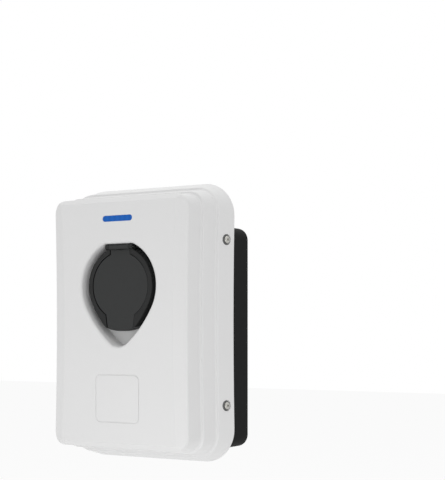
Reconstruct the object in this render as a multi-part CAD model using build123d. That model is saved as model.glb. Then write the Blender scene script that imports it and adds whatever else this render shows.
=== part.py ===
from build123d import *

import math
import os

os.makedirs("parts", exist_ok=True)

# Wall-mounted charging unit with a lidded socket outlet. Millimetres, +Z up, +X to the
# viewer's right, +Y into the wall. The wall is the plane Y = 0 and the origin is the centre
# of the four wall holes. A depth is counted from the front face of the cover towards the wall.

# Overall sizes
unit_depth = 108.0
cover_depth = 67.0
cover_rise = 15.3  # centre of the cover above the centre of the wall holes
overrun = 2.0  # how far every cutting body passes the faces it cuts
fit_gap = 0.05  # radial gap of pins and sleeves that fit closely
moving_gap = 0.3  # gap between pieces that move past each other
seat_gap = 0.4  # gap between loosely nested mouldings

# Front cover: a shell in three tiers, every outline taller than wide by the same amount
height_excess = 88.0
cover_wall = 2.8
face_width = 145.0  # flat front between the two creases
facet_width = 12.3  # from a crease at the side to the outline of the first tier
facet_height = 5.0  # the same above and below
bevel_depth = 4.0
bevel_reach_share = 1.5
crease_waist = 4.0  # how far the creases bow in at mid height
tier_waist = 2.0  # how far the sides of the tiers bow in
tier_1_flare = 2.6
tier_2_flare = 6.0
rim_flare = 12.0
ledge_2_width = 2.9  # ledge in front of the second tier
ledge_3_width = 2.9
tier_1_width = face_width + 2 * facet_width
tier_2_width = tier_1_width + tier_1_flare + 2 * ledge_2_width
tier_3_width = tier_2_width + tier_2_flare + 2 * ledge_3_width
rim_width = tier_3_width + rim_flare
face_height = tier_1_width + height_excess - 2 * facet_height
tier_1_corner = 14.0
tier_2_corner = 17.5
tier_3_corner = 26.0
rim_corner = 35.0
tier_2_depth = 26.0
tier_3_depth = 45.6
lip_round = 1.6
root_round = 2.4
bevel_round = 2.6
crease_round = 0.8

# Socket recess in the cover: a teardrop, a circle above and a rounded tip below
socket_rise = 37.9  # centre of the socket above the centre of the cover
pocket_radius = 46.9
pocket_flat = 43.7  # flat top edge above the socket's centre
pocket_turn_angle = 28.0  # degrees below the horizontal where the long side arcs begin
pocket_top_angle = 75.0  # degrees above the horizontal, the most the round part reaches
pocket_side_radius = 120.0
pocket_drop = 62.8  # lowest point of the tip below the socket's centre
pocket_draft = 1.8  # how far the wall closes in from mouth to floor
pocket_depth = 18.0
pocket_floor = 2.5
pocket_mouth_round = 3.5

# Status light slot and reader field on the front
light_width = 37.5
light_height = 6.2
light_rise = 107.1
light_gap = 0.12
light_flange = 2.2
light_flange_thickness = 1.2
light_sink = 0.3
reader_width = 55.0
reader_height = 49.5
reader_corner = 6.0
reader_rise = -78.0
reader_groove_width = 0.9
reader_groove_depth = 0.35

# Small circuit boards on pegs behind the front
peg_radius = 2.0
peg_tip_radius = 1.0
peg_tip_length = 1.4
board_thickness = 1.6
small_board_thickness = 1.2
reader_board_width = 58.0
reader_board_height = 50.0
reader_peg_length = 2.6
light_board_width = 54.0
light_board_height = 12.0
light_peg_length = 4.4
peg_margin = 3.2
lamp_size = 3.0
lamp_height = 1.4
lamp_count = 5
coil_line = 1.0
coil_height = 0.3
coil_pitch = 3.2
coil_count = 3

# Base: a shallow tray inside the cover's skirt and a smaller box behind it
tray_wall = 2.6
tray_back = 3.0
tray_front_depth = 50.4
tray_sink = 0.6  # the tray's back lies this much inside the rim
box_side_margin = 7.7  # from the rim in to the box's side
box_height_margin = 58.2  # the box is this much lower than the rim is high
box_width = rim_width - 2 * box_side_margin
box_height = rim_width + height_excess - box_height_margin
box_corner = 13.0
box_wall = 3.0
box_rear_round = 2.5
rear_recess_margin = 14.0
rear_recess_depth = 1.0
rear_recess_corner = 6.0
seal_width = 1.6

# Wall fixing
wall_hole_radius = 3.0
wall_hole_inset_x = 15.2  # from the box's side in to a wall hole
wall_hole_inset_z = 23.8
wall_hole_span_x = box_width - 2 * wall_hole_inset_x
wall_hole_span_z = box_height - 2 * wall_hole_inset_z
wall_boss_radius = 8.0
wall_boss_height = 5.0

# Screws in the cover's sides
side_screw_depth = 57.0
side_screw_rise = 85.0
side_boss_radius = 5.2
side_boss_length = 10.0
side_seat_radius = 5.6
side_seat_sink = 1.7
washer_radius = 5.3
washer_thickness = 0.8
screw_radius = 2.0
screw_head_radius = 3.9
screw_head_height = 2.5
screw_hole_radius = 2.3
screw_socket_width = 2.5
screw_socket_depth = 1.5
insert_radius = 2.9
insert_length = 7.5

# Power board on bosses in the base
board_boss_radius = 3.6
board_boss_height = 12.0
board_width = 132.0
board_height = 176.0
board_floor_gap = 7.8  # from the box's bottom wall up to the board
board_drop = (box_height - board_height) / 2 - box_wall - board_floor_gap
board_margin = 5.5
board_corner = 3.0
small_screw_radius = 1.5
small_screw_head_radius = 2.8
head_height_share = 0.66  # height of a small screw's head as a share of its radius
small_screw_length = 8.0

# Devices on the power board, each placed from the board's centre
terminal_width = 74.0
terminal_height = 20.0
terminal_depth = 24.0
terminal_margin = 3.0
terminal_count = 5
terminal_mouth = 8.6
terminal_mouth_depth = 12.0
terminal_screw_radius = 3.0
terminal_screw_slot = 1.0
relay_width = 16.0
relay_height = 30.0
relay_depth = 25.0
relay_pitch = 19.0
relay_count = 4
relay_left = -52.0
relay_drop = 39.0
relay_round = 1.0
sensor_radius = 15.0
sensor_bore = 9.5
sensor_width = 13.0
sensor_x = 42.0
sensor_drop = 45.0
sensor_foot = 3.0
module_width = 27.0
module_height = 50.0
module_depth = 22.0
module_x = -46.0
module_rise = 35.0
capacitor_radius = 6.3
capacitor_height = 21.0
capacitor_pitch = 15.0
capacitor_count = 3
capacitor_x = 48.0
capacitor_rise = 19.0
capacitor_round = 0.8
varistor_radius = 6.5
varistor_thickness = 4.2
varistor_pitch = 17.0
varistor_count = 3
varistor_drop = 59.5
varistor_leg = 2.0

# Control board on pillars in front of the power board
control_width = 98.0
control_height = 62.0
control_drop = 35.0
pillar_radius = 2.6
pillar_length = 34.0
radio_width = 18.0
radio_height = 25.0
radio_depth = 3.2
radio_end_gap = 17.0  # from the board's end to the middle of the module
radio_x = radio_end_gap - control_width / 2
header_width = 22.0
header_height = 6.5
header_depth = 8.5
header_x = 5.0
header_wall = 0.8
selector_width = 10.0
selector_depth = 6.0
selector_end_gap = 15.0
selector_x = control_width / 2 - selector_end_gap
rotor_radius = 3.6
rotor_depth = 1.6
rotor_stem_radius = 1.2
rotor_slot = 1.0

# Socket housing: the black bezel in the recess and the sleeve behind it
bezel_depth = 4.8
bezel_back_depth = 17.0
bezel_flat_inset = 6.9
bezel_back_inset = 2.8
bezel_bottom_radius = 46.5
bezel_top = 41.9
sleeve_outer_radius = 34.2
sleeve_inner_radius = 31.8
sleeve_flat = 27.6  # flat of the plug's shroud above the centre
sleeve_end_depth = 52.0
floor_hole_gap = 0.5
gasket_thickness = 1.0
gasket_outer_radius = 41.0
socket_screw_circle = 38.3
socket_screw_angle = 45.0
socket_screw_radius = 1.4
socket_screw_head_radius = 2.7
socket_screw_bite = 3.2
drain_radius = 2.2

# Contact insert, the carrier plate behind it and the seven contact sleeves
insert_front_depth = 13.5
insert_radius_d = 26.5
insert_flat = 22.4
carrier_radius = 33.0
carrier_depth = 47.0
carrier_thickness = 3.6
insert_screw_radius = 1.3
insert_screw_head_radius = 2.3
insert_screw_length = 9.0  # bite of the carrier's two screws in the insert
ring_thickness = 1.2
ring_width = 3.6
contact_pitch = 17.0
power_bore_radius = 3.0
power_wall = 1.1
signal_bore_radius = 1.5
signal_wall = 0.8
contact_lead_in = 2.0
contact_lead_in_gap = 0.02  # a plug's pins are first guided by the insert, then by the sleeves
contact_bore_length = 29.0
contact_end_depth = 58.0
contact_tail_share = 0.8

# Lid over the socket
lid_radius = 34.5
lid_thickness = 2.6
lid_depth = 5.2
lid_gap = 0.6
lid_neck_width = 24.4
lid_tab_top_width = 37.4
lid_tab_bottom_width = 30.4
lid_tab_start = 25.0
lid_round = 0.5
land_depth = 8.9
lid_seal_radius = 33.8
lid_seal_width = 1.6
lid_seal_groove = 0.8
notch_width = 31.0
notch_depth = 10.0
hinge_rise = 40.1  # hinge axis above the socket's centre
hinge_depth = 4.6
hinge_pin_radius = 1.0
hinge_pin_length = 33.0
knuckle_radius = 2.8
spring_space_width = 8.8
spring_space_radius = 1.95
ear_width = 4.4
ear_side_gap = 0.35
spring_wire_radius = 0.3
spring_coil_radius = 1.45
spring_turns = 6.75  # so that the second leg leaves towards the bezel
spring_length = 7.7
spring_leg = 6.0
spring_leg_share = 0.9  # the legs are drawn a little thinner than the coil
spring_anchor = 5.5
spring_slot_width = 1.0

# Lock for the plug at the side of the sleeve
lock_rise = 14.0  # above the socket's centre
lock_depth = 40.0
lock_pin_radius = 2.5
lock_pin_gap = 0.1
lock_tip_x = 29.8
lock_pin_length = 16.0
lock_pin_room = 1.0
lock_body_length = 30.0
lock_body_height = 17.0
lock_body_depth = 22.0
lock_body_x = 36.5
lock_nose_radius = 4.4
lock_nose_length = 3.3
lock_flange_width = 11.0
lock_flange_height = 36.0
lock_flange_thickness = 3.0
lock_boss_radius = 3.6
lock_screw_spacing = 27.0
lock_round = 1.5

# Leads from the contacts to the power board
lead_radius = 2.3
lead_back_share = 0.51  # how far a lead runs back of the way from its contact to the board
lead_bend_share = 0.2
lead_foot_drop = 12.0  # below the board's centre

# Cable entries in the bottom of the base
entry_x = 0.0
entry_bore_radius = 9.5
entry_hole_radius = 14.0
entry_flange_radius = 17.5
entry_flange_height = 2.5
entry_lip = 1.6
entry_depth = 22.0  # from the wall plane
entry_tube_wall = 2.2
entry_tube_length = 5.0
plug_x = 50.0
plug_hole_radius = 8.0
plug_head_radius = 10.5
plug_head_height = 2.2
vent_x = -50.0
vent_hole_radius = 5.0
vent_head_radius = 7.5
vent_head_height = 2.4
vent_slot_count = 3


def front_plane(depth):
    """Upright plane at a depth behind the front, seen from the front, on the cover's centre."""
    return Plane(origin=(0, depth - unit_depth, cover_rise), x_dir=(1, 0, 0), z_dir=(0, -1, 0))


def socket_plane(depth):
    """Upright plane at a depth behind the front, centred on the socket."""
    return front_plane(depth) * Pos(0, socket_rise)


def base_plane(depth):
    """Upright plane at a depth behind the front, centred on the wall holes."""
    return front_plane(depth) * Pos(0, -cover_rise)


def block(plane, face, thickness):
    """A plane face extruded towards the wall."""
    return extrude(plane * face, amount=-thickness)


def ring(outer_radius, inner_radius):
    """Flat annulus."""
    return Circle(outer_radius) - Circle(inner_radius)


def grid_of_four(span_x, span_y):
    """The corners of a rectangle, as places in its plane."""
    return [Pos(sx * span_x / 2, sy * span_y / 2) for sx in (-1, 1) for sy in (-1, 1)]


def row_places(count, pitch):
    """Evenly spaced places along a line, centred on zero."""
    return [(index - (count - 1) / 2) * pitch for index in range(count)]


def waisted_face(width, corner, waist, height=None):
    """Rounded rectangle whose two long sides bow inwards."""
    half_w = width / 2
    half_h = (height or width + height_excess) / 2
    edges = [
        Line((-half_w, half_h), (half_w, half_h)),
        ThreePointArc((half_w, half_h), (half_w - waist, 0), (half_w, -half_h)),
        Line((half_w, -half_h), (-half_w, -half_h)),
        ThreePointArc((-half_w, -half_h), (waist - half_w, 0), (-half_w, half_h)),
    ]
    face = make_face(edges)
    return fillet(face.vertices(), corner) if corner else face


def flared_tier(front_depth, back_depth, front_size, back_size, waist=tier_waist):
    """Solid between two waisted outlines, each given as its width and its corner radius."""
    front = front_plane(front_depth) * waisted_face(*front_size, waist)
    back = front_plane(back_depth) * waisted_face(*back_size, waist)
    return loft([front.face(), back.face()], ruled=True)


def teardrop(inset):
    """Outline of the socket recess, closed in by an inset all round."""
    turn = math.radians(pocket_turn_angle)
    side_x = -(pocket_side_radius - pocket_radius) * math.cos(turn)
    side_y = (pocket_side_radius - pocket_radius) * math.sin(turn)
    lift = side_y + pocket_drop
    tip_radius = (side_x**2 + lift**2 - pocket_side_radius**2) / (2 * (lift - pocket_side_radius))
    tip_y = tip_radius - pocket_drop
    meet = math.atan2(tip_y - side_y, -side_x)

    def on_circle(x, y, radius, angle):
        return (x + radius * math.cos(angle), y + radius * math.sin(angle))

    main, side, tip = pocket_radius - inset, pocket_side_radius - inset, tip_radius - inset
    flat = min(pocket_flat - inset, main * math.sin(math.radians(pocket_top_angle)))
    top_angle = math.asin(flat / main)
    top = on_circle(0, 0, main, top_angle)
    first = on_circle(0, 0, main, -turn)
    second = on_circle(0, tip_y, tip, meet)
    right = [
        ThreePointArc(top, on_circle(0, 0, main, (top_angle - turn) / 2), first),
        ThreePointArc(first, on_circle(side_x, side_y, side, (meet - turn) / 2), second),
    ]
    bottom = ThreePointArc(second, (0, tip_y - tip), (-second[0], second[1]))
    left = [edge.mirror(Plane.YZ) for edge in right]
    return make_face([Line((-top[0], top[1]), top), *right, bottom, *left])


def reader_face(grow):
    """Rounded square of the reader field, grown outwards."""
    return RectangleRounded(
        reader_width + 2 * grow, reader_height + 2 * grow, reader_corner + grow
    )


def cover_outer():
    """Outside of the cover: three flared tiers with a bevelled front."""
    sizes = [
        (0, tier_2_depth, tier_1_width, tier_1_corner, tier_1_flare),
        (tier_2_depth, tier_3_depth, tier_2_width, tier_2_corner, tier_2_flare),
        (tier_3_depth, cover_depth, tier_3_width, tier_3_corner, rim_width - tier_3_width),
    ]
    body = None
    for start, end, width, corner, flare in sizes:
        end_corner = rim_corner if end == cover_depth else corner + flare / 2
        tier = flared_tier(start, end, (width, corner), (width + flare, end_corner))
        body = tier if body is None else body + tier
    for start in (tier_2_depth, tier_3_depth):
        body = fillet(ledge_at(body, start).outer_wire().edges(), lip_round)
        body = fillet(ledge_at(body, start).inner_wires()[0].edges(), root_round)
    return body


def ledge_at(body, depth):
    """The flat ledge of the cover that faces the viewer at a depth."""
    faces = [face for face in body.faces() if face.geom_type == GeomType.PLANE]
    return min(faces, key=lambda face: abs(face.center().Y - (depth - unit_depth)))


def front_trim():
    """What lies outside the sloping facets round the flat front."""
    reach = bevel_depth * bevel_reach_share
    slope_x = (tier_1_width - face_width) * bevel_reach_share
    slope_z = (tier_1_width + height_excess - face_height) * bevel_reach_share
    waist_end = crease_waist + (tier_waist - crease_waist) * bevel_reach_share
    face = front_plane(0) * waisted_face(face_width, 0, crease_waist, face_height)
    base = front_plane(reach) * waisted_face(
        face_width + slope_x, 0, waist_end, face_height + slope_z
    )
    pyramid = loft([face.face(), base.face()], ruled=True)
    frame = Rectangle(rim_width, rim_width + height_excess)
    return block(front_plane(-overrun), frame, reach + overrun) - pyramid


def round_front(body):
    """The sloping facets round the front, with their edges rounded."""
    near = -unit_depth + bevel_depth * bevel_reach_share
    level = -unit_depth + crease_round
    facets = [
        face for face in body.faces()
        if face.bounding_box().max.Y < near and face.bounding_box().max.Y > level
    ]
    outer = [
        edge for facet in facets for edge in facet.edges()
        if edge.bounding_box().max.Y > level
    ]
    body = fillet(outer, bevel_round)
    return fillet(ledge_at(body, 0).outer_wire().edges(), crease_round)


def cavity_size(depth):
    """Width and corner radius of the inside of the cover's skirt at a depth."""
    start = tier_3_depth + cover_wall
    share = (depth - start) / (cover_depth - start)
    width = tier_3_width - 2 * cover_wall + share * (rim_width - tier_3_width)
    corner = tier_3_corner - cover_wall + share * (rim_corner - tier_3_corner)
    return width, corner


def cover_cavity():
    """The hollow inside the cover, with the same tiers as the outside."""
    thick = 2 * cover_wall
    first = (tier_1_width - thick, tier_1_corner - cover_wall)
    second = (tier_2_width - thick, tier_2_corner - cover_wall)
    start_2, start_3 = tier_2_depth + cover_wall, tier_3_depth + cover_wall
    body = flared_tier(
        bevel_depth + cover_wall, start_2, first, (first[0] + tier_1_flare, first[1])
    )
    body += flared_tier(start_2, start_3, second, (second[0] + tier_2_flare, second[1]))
    body += flared_tier(start_3, cover_depth, cavity_size(start_3), cavity_size(cover_depth))
    body += block(front_plane(cover_depth), waisted_face(*cavity_size(cover_depth), tier_waist), overrun)
    narrow = waisted_face(
        face_width - cover_wall, tier_1_corner - cover_wall, crease_waist, face_height - cover_wall
    )
    return body + block(front_plane(cover_wall), narrow, bevel_depth + overrun)


def pocket_solid(start, end, inset_start, inset_end):
    """Drafted teardrop body between two depths."""
    front = socket_plane(start) * teardrop(inset_start)
    back = socket_plane(end) * teardrop(inset_end)
    return loft([front.face(), back.face()], ruled=True)


def side_screw_places():
    """The four side screws: the side they are on and their height."""
    return [(side, cover_rise + up * side_screw_rise) for side in (-1, 1) for up in (-1, 1)]


def bowed_half_width(depth, up):
    """Half width of the outside of the skirt at a depth and a height off the cover's centre."""
    share = (depth - tier_3_depth) / (cover_depth - tier_3_depth)
    width = tier_3_width + share * (rim_width - tier_3_width)
    half_h = (width + height_excess) / 2
    return width / 2 - tier_waist * (1 - (up / half_h) ** 2)


def seat_x():
    """Distance from the middle of the flat seat under a side screw's head."""
    return bowed_half_width(side_screw_depth, side_screw_rise) - side_seat_sink


def side_axis(side, height, x):
    """Plane at a side screw, facing outwards, at a distance from the middle."""
    origin = (side * x, side_screw_depth - unit_depth, height)
    return Plane(origin=origin, x_dir=(0, 1, 0), z_dir=(side, 0, 0))


def peg(plane_depth, place, length):
    """Round peg behind the cover's front wall with a thin tip that holds a board."""
    body = block(front_plane(plane_depth), place * Circle(peg_radius), length)
    reach = length + small_board_thickness + peg_tip_length
    return body + block(front_plane(plane_depth), place * Circle(peg_tip_radius), reach)


def light_peg_places():
    """Where the two pegs of the light board stand."""
    reach = light_board_width / 2 - peg_margin
    return [Pos(side * reach, light_rise) for side in (-1, 1)]


def reader_peg_places():
    """Where the four pegs of the reader board stand."""
    span_x = reader_board_width - 2 * peg_margin
    span_y = reader_board_height - 2 * peg_margin
    return [Pos(0, reader_rise) * place for place in grid_of_four(span_x, span_y)]


def make_front_cover():
    """White moulded cover with the socket recess, the light slot and the screw seats."""
    body = round_front(cover_outer() - front_trim()) - cover_cavity()
    deep = pocket_depth + pocket_floor
    body += pocket_solid(cover_wall / 2, deep, -cover_wall, pocket_draft - cover_wall)
    lock_front = lock_depth - lock_body_depth / 2
    boss_start = cover_wall / 2
    for place in lock_screw_places():
        boss = place * Circle(lock_boss_radius)
        body += block(socket_plane(boss_start), boss, lock_front - boss_start)
    body -= pocket_solid(0, pocket_depth, 0, pocket_draft)
    mouth = max(ledge_at(body, 0).inner_wires(), key=lambda wire: wire.length)
    body = fillet(mouth.edges(), pocket_mouth_round)
    for place in lock_screw_places():
        hole = place * Circle(small_screw_radius)
        body -= block(socket_plane(lock_front - small_screw_length), hole, small_screw_length + overrun)
    opening = Circle(sleeve_outer_radius + floor_hole_gap)
    body -= block(socket_plane(pocket_depth - overrun), opening, pocket_floor + 2 * overrun)
    for place in socket_screw_places():
        hole = place * Circle(socket_screw_radius + moving_gap)
        body -= block(socket_plane(pocket_depth - overrun), hole, pocket_floor + 2 * overrun)
    slot = Pos(0, light_rise) * SlotOverall(light_width, light_height)
    body -= block(front_plane(-overrun), slot, cover_wall + 2 * overrun)
    groove = reader_face(0) - reader_face(-reader_groove_width)
    body -= block(front_plane(-overrun), Pos(0, reader_rise) * groove, overrun + reader_groove_depth)
    for place in light_peg_places():
        body += peg(cover_wall, place, light_peg_length)
    for place in reader_peg_places():
        body += peg(cover_wall, place, reader_peg_length)
    for side, height in side_screw_places():
        seat = side_axis(side, height, seat_x())
        body -= extrude(seat * Circle(side_seat_radius), amount=cover_wall + overrun)
        body -= extrude(seat * Circle(screw_hole_radius), amount=-cover_wall - overrun)
    return body


def box_face(inset):
    """Outline of the rear box, closed in by an inset."""
    return RectangleRounded(box_width - 2 * inset, box_height - 2 * inset, box_corner - inset)


def tray_size(depth, inset):
    """Width and corner radius of the tray's outside at a depth, closed in by an inset."""
    width, corner = cavity_size(depth)
    return width - 2 * (seat_gap + inset), corner - seat_gap - inset


def wall_hole_places():
    """The four holes for the wall screws."""
    return grid_of_four(wall_hole_span_x, wall_hole_span_z)


def board_hole_places():
    """The six screws of the power board."""
    span_x, span_z = board_width - 2 * board_margin, board_height - 2 * board_margin
    middle = [Pos(side * span_x / 2, 0) for side in (-1, 1)]
    return [Pos(0, -board_drop) * place for place in grid_of_four(span_x, span_z) + middle]


def make_base_housing():
    """Black moulded base: a tray inside the cover's skirt and the box that meets the wall."""
    back = cover_depth - tray_sink
    body = flared_tier(
        tray_front_depth, back, tray_size(tray_front_depth, 0), tray_size(back, 0)
    )
    floor = back - tray_back
    body -= flared_tier(
        tray_front_depth, floor, tray_size(tray_front_depth, tray_wall), tray_size(floor, tray_wall)
    )
    box = block(base_plane(floor), box_face(0), unit_depth - floor)
    body += fillet(box.faces().sort_by(Axis.Y)[-1].edges(), box_rear_round)
    body -= block(base_plane(floor - overrun), box_face(box_wall), unit_depth - floor + overrun - box_wall)
    recess_face = RectangleRounded(
        box_width - 2 * rear_recess_margin, box_height - 2 * rear_recess_margin, rear_recess_corner
    )
    recess = block(base_plane(unit_depth - rear_recess_depth), recess_face, rear_recess_depth + overrun)
    inner = unit_depth - box_wall
    for place in wall_hole_places():
        recess -= block(base_plane(inner), place * Circle(wall_boss_radius), box_wall + overrun)
    body -= recess
    boss_start = inner - wall_boss_height
    for place in wall_hole_places():
        body += block(base_plane(boss_start), place * Circle(wall_boss_radius), wall_boss_height)
        hole = place * Circle(wall_hole_radius)
        body -= block(base_plane(boss_start - overrun), hole, unit_depth)
    for place in board_hole_places():
        start = base_plane(inner - board_boss_height)
        body += block(start, place * Circle(board_boss_radius), board_boss_height)
        body -= block(start, place * Circle(small_screw_radius), small_screw_length)
    for side, height in side_screw_places():
        body += side_boss(side, height, floor)
    bottom = Plane(origin=(0, -entry_depth, -box_height / 2), z_dir=(0, 0, -1), x_dir=(1, 0, 0))
    for x, radius in entry_holes():
        body -= extrude(bottom * Pos(x, 0) * Circle(radius), box_wall + overrun, both=True)
    for side, height in side_screw_places():
        start = side_axis(side, height, seat_x())
        body -= extrude(start * Circle(insert_radius), amount=-boss_face_gap() - insert_length)
    return body


def boss_face_gap():
    """From a side screw's seat to the mouth of its insert."""
    width = tray_size(side_screw_depth, 0)[0]
    bow = tier_waist * (1 - (side_screw_rise / ((width + height_excess) / 2)) ** 2)
    return seat_x() - (width / 2 - bow - tray_wall / 2)


def side_boss(side, height, floor):
    """Boss on the tray's side wall that takes a side screw, with a web down to the tray's floor."""
    start = side_axis(side, height, seat_x() - boss_face_gap())
    body = extrude(start * Circle(side_boss_radius), amount=-side_boss_length)
    length = floor - side_screw_depth + tray_wall / 2
    web = Pos(length / 2, 0) * Rectangle(length, side_boss_radius)
    return body + extrude(start * web, amount=-side_boss_length)


def entry_holes():
    """Holes in the bottom of the box: the place along X and the radius of each."""
    return [(entry_x, entry_hole_radius), (plug_x, plug_hole_radius), (vent_x, vent_hole_radius)]


def make_cover_seal():
    """Rubber seal between the tray's front edge and the cover's inner ledge."""
    start = tier_3_depth + cover_wall
    width, corner = tray_size(tray_front_depth, tray_wall / 2)
    outer = waisted_face(width + seal_width, corner + seal_width / 2, tier_waist)
    inner = waisted_face(width - seal_width, corner - seal_width / 2, tier_waist)
    return block(front_plane(start), outer - inner, tray_front_depth - start)


def make_cover_screws():
    """The four stainless button-head screws in the cover's sides."""
    solids = []
    for side, height in side_screw_places():
        seat = side_axis(side, height, seat_x() + washer_thickness)
        head = extrude(seat * Circle(screw_head_radius), amount=screw_head_height)
        head = fillet(head.faces().sort_by(Axis.X)[-1 if side > 0 else 0].edges(), screw_head_height / 2)
        recess = seat.offset(screw_head_height - screw_socket_depth) * RegularPolygon(
            screw_socket_width / 2, 6, major_radius=False
        )
        head -= extrude(recess, amount=screw_socket_depth + overrun)
        reach = washer_thickness + boss_face_gap() + insert_length - moving_gap
        solids.append(head + extrude(seat * Circle(screw_radius), amount=-reach))
    return Compound(solids)


def make_cover_screw_washers():
    """The four rubber washers under the heads of the side screws."""
    face = ring(washer_radius, screw_radius + moving_gap)
    return Compound([
        extrude(side_axis(side, height, seat_x()) * face, amount=washer_thickness)
        for side, height in side_screw_places()
    ])


def make_cover_screw_inserts():
    """The four brass inserts in the base that take the side screws."""
    solids = []
    for side, height in side_screw_places():
        mouth = side_axis(side, height, seat_x() - boss_face_gap())
        outer = insert_radius - fit_gap
        bore = screw_radius + fit_gap
        barrel = extrude(mouth * ring(outer, bore), amount=-insert_length)
        waist = mouth.offset(-insert_length / 2)
        knurl_gap = ring(outer + overrun, outer - fit_gap * 4)
        barrel -= extrude(waist * knurl_gap, amount=insert_length / 12, both=True)
        solids.append(barrel)
    return Compound(solids)


def bottom_plane(drop):
    """Plane under the box, facing down, a distance below its bottom."""
    return Plane(
        origin=(0, -entry_depth, -box_height / 2 - drop), z_dir=(0, 0, -1), x_dir=(1, 0, 0)
    )


def make_supply_grommet():
    """Rubber grommet that lines the cable entry, snapped over the box's bottom wall."""
    centre = Pos(entry_x, 0)
    neck = entry_hole_radius - fit_gap
    body = extrude(bottom_plane(0) * centre * Circle(entry_flange_radius), amount=entry_flange_height)
    body = fillet(body.faces().sort_by(Axis.Z)[0].edges(), entry_flange_height / 3)
    body += extrude(bottom_plane(-box_wall) * centre * Circle(neck), amount=box_wall)
    inside = bottom_plane(-box_wall) * centre
    lip = extrude(inside * Circle(neck + entry_lip), amount=-entry_lip)
    body += chamfer(lip.faces().sort_by(Axis.Z)[-1].edges(), entry_lip / 2)
    body += extrude(
        inside * Circle(entry_bore_radius + entry_tube_wall), amount=-entry_tube_length
    )
    reach = box_wall + entry_flange_height + entry_tube_length
    return body - extrude(
        bottom_plane(entry_flange_height) * centre * Circle(entry_bore_radius), amount=-reach - overrun
    )


def snap_plug(x, hole_radius, head_radius, head_height):
    """Round plug snapped into a hole of the box's bottom wall, hollow from the inside."""
    centre = Pos(x, 0)
    head = extrude(bottom_plane(0) * centre * Circle(head_radius), amount=head_height)
    head = fillet(head.faces().sort_by(Axis.Z)[0].edges(), head_height / 2)
    stem_radius = hole_radius - fit_gap
    stem = extrude(bottom_plane(0) * centre * Circle(stem_radius), amount=-box_wall - entry_lip)
    barb = extrude(
        bottom_plane(-box_wall) * centre * Circle(stem_radius + entry_lip / 2), amount=-entry_lip
    )
    stem += chamfer(barb.faces().sort_by(Axis.Z)[-1].edges(), entry_lip / 4)
    hollow = extrude(
        bottom_plane(0) * centre * Circle(hole_radius - entry_lip - fit_gap),
        amount=-box_wall - 2 * entry_lip,
    )
    return head + stem - hollow


def make_blanking_plug():
    """Plug in the unused second cable hole."""
    return snap_plug(plug_x, plug_hole_radius, plug_head_radius, plug_head_height)


def make_vent_plug():
    """Breather plug with slots round its head."""
    body = snap_plug(vent_x, vent_hole_radius, vent_head_radius, vent_head_height)
    slot = Rectangle(2 * vent_head_radius + overrun, vent_head_height / 3)
    for turn in range(vent_slot_count):
        place = Pos(vent_x, 0) * Rot(0, 0, turn * 180 / vent_slot_count)
        body -= extrude(
            bottom_plane(vent_head_height) * place * slot, amount=-vent_head_height / 3
        )
    return body


def board_depth(front):
    """Depth of the power board's front or back face."""
    back = unit_depth - box_wall - board_boss_height
    return back - board_thickness if front else back


def power_plane(depth):
    """Upright plane at a depth, centred on the power board."""
    return base_plane(depth) * Pos(0, -board_drop)


def make_power_board():
    """Main circuit board with its six screw holes."""
    face = RectangleRounded(board_width, board_height, board_corner)
    body = block(power_plane(board_depth(True)), face, board_thickness)
    for place in board_hole_places():
        hole = place * Circle(small_screw_radius + moving_gap)
        body -= block(base_plane(board_depth(True) - overrun), hole, board_thickness + 2 * overrun)
    return body


def pan_screw(length, shank_radius=small_screw_radius, head_radius=small_screw_head_radius):
    """Slotted pan-head screw: the head above the origin and the shank below it, along Z."""
    height = head_radius * head_height_share
    head = extrude(Circle(head_radius), amount=height)
    head = fillet(head.faces().sort_by(Axis.Z)[-1].edges(), height / 2)
    slot = Rectangle(2 * head_radius + overrun, height / 3)
    head -= extrude(Pos(0, 0, height / 2) * slot, amount=height)
    return head + extrude(Circle(shank_radius - fit_gap), amount=-length)


def make_board_screws():
    """The six screws of the power board."""
    length = board_thickness + small_screw_length - fit_gap
    plane = base_plane(board_depth(True))
    return Compound([plane * place * pan_screw(length) for place in board_hole_places()])


def on_board(place, face, depth):
    """Body that stands on the front of the power board."""
    front = board_depth(True)
    return block(power_plane(front - depth), place * face, depth)


def terminal_centre():
    """Centre of the supply terminal block."""
    return Pos(0, terminal_margin + (terminal_height - board_height) / 2)


def terminal_places():
    """The five poles of the terminal block."""
    pitch = (terminal_width - 2 * terminal_margin) / terminal_count
    return [terminal_centre() * Pos(x, 0) for x in row_places(terminal_count, pitch)]


def make_supply_terminal():
    """Five-pole terminal block, with a wire mouth below and a screw well in front of each pole."""
    body = on_board(terminal_centre(), Rectangle(terminal_width, terminal_height), terminal_depth)
    front = board_depth(True) - terminal_depth
    body = chamfer(body.faces().sort_by(Axis.Y)[0].edges(), lip_round)
    below = terminal_margin - board_drop - board_height / 2
    mouth_y = board_depth(True) - terminal_depth / 2 - unit_depth
    mouth_plane = Plane(origin=(0, mouth_y, below - overrun), z_dir=(0, 0, 1), x_dir=(1, 0, 0))
    pitch = (terminal_width - 2 * terminal_margin) / terminal_count
    for x, place in zip(row_places(terminal_count, pitch), terminal_places()):
        mouth = mouth_plane * Pos(x, 0) * RectangleRounded(terminal_mouth, terminal_mouth, bevel_round)
        body -= extrude(mouth, amount=terminal_mouth_depth + overrun)
        well = place * Circle(terminal_screw_radius + fit_gap)
        body -= block(power_plane(front - overrun), well, terminal_margin + overrun)
    return body


def make_terminal_screws():
    """The five clamp screws in the wells of the terminal block."""
    solids = []
    start = board_depth(True) - terminal_depth + terminal_margin
    for place in terminal_places():
        height = terminal_margin / 2
        screw = block(power_plane(start - height), place * Circle(terminal_screw_radius), height)
        slot = place * Rectangle(2 * terminal_screw_radius + overrun, terminal_screw_slot)
        solids.append(screw - block(power_plane(start - height - overrun), slot, overrun + height / 2))
    return Compound(solids)


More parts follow.
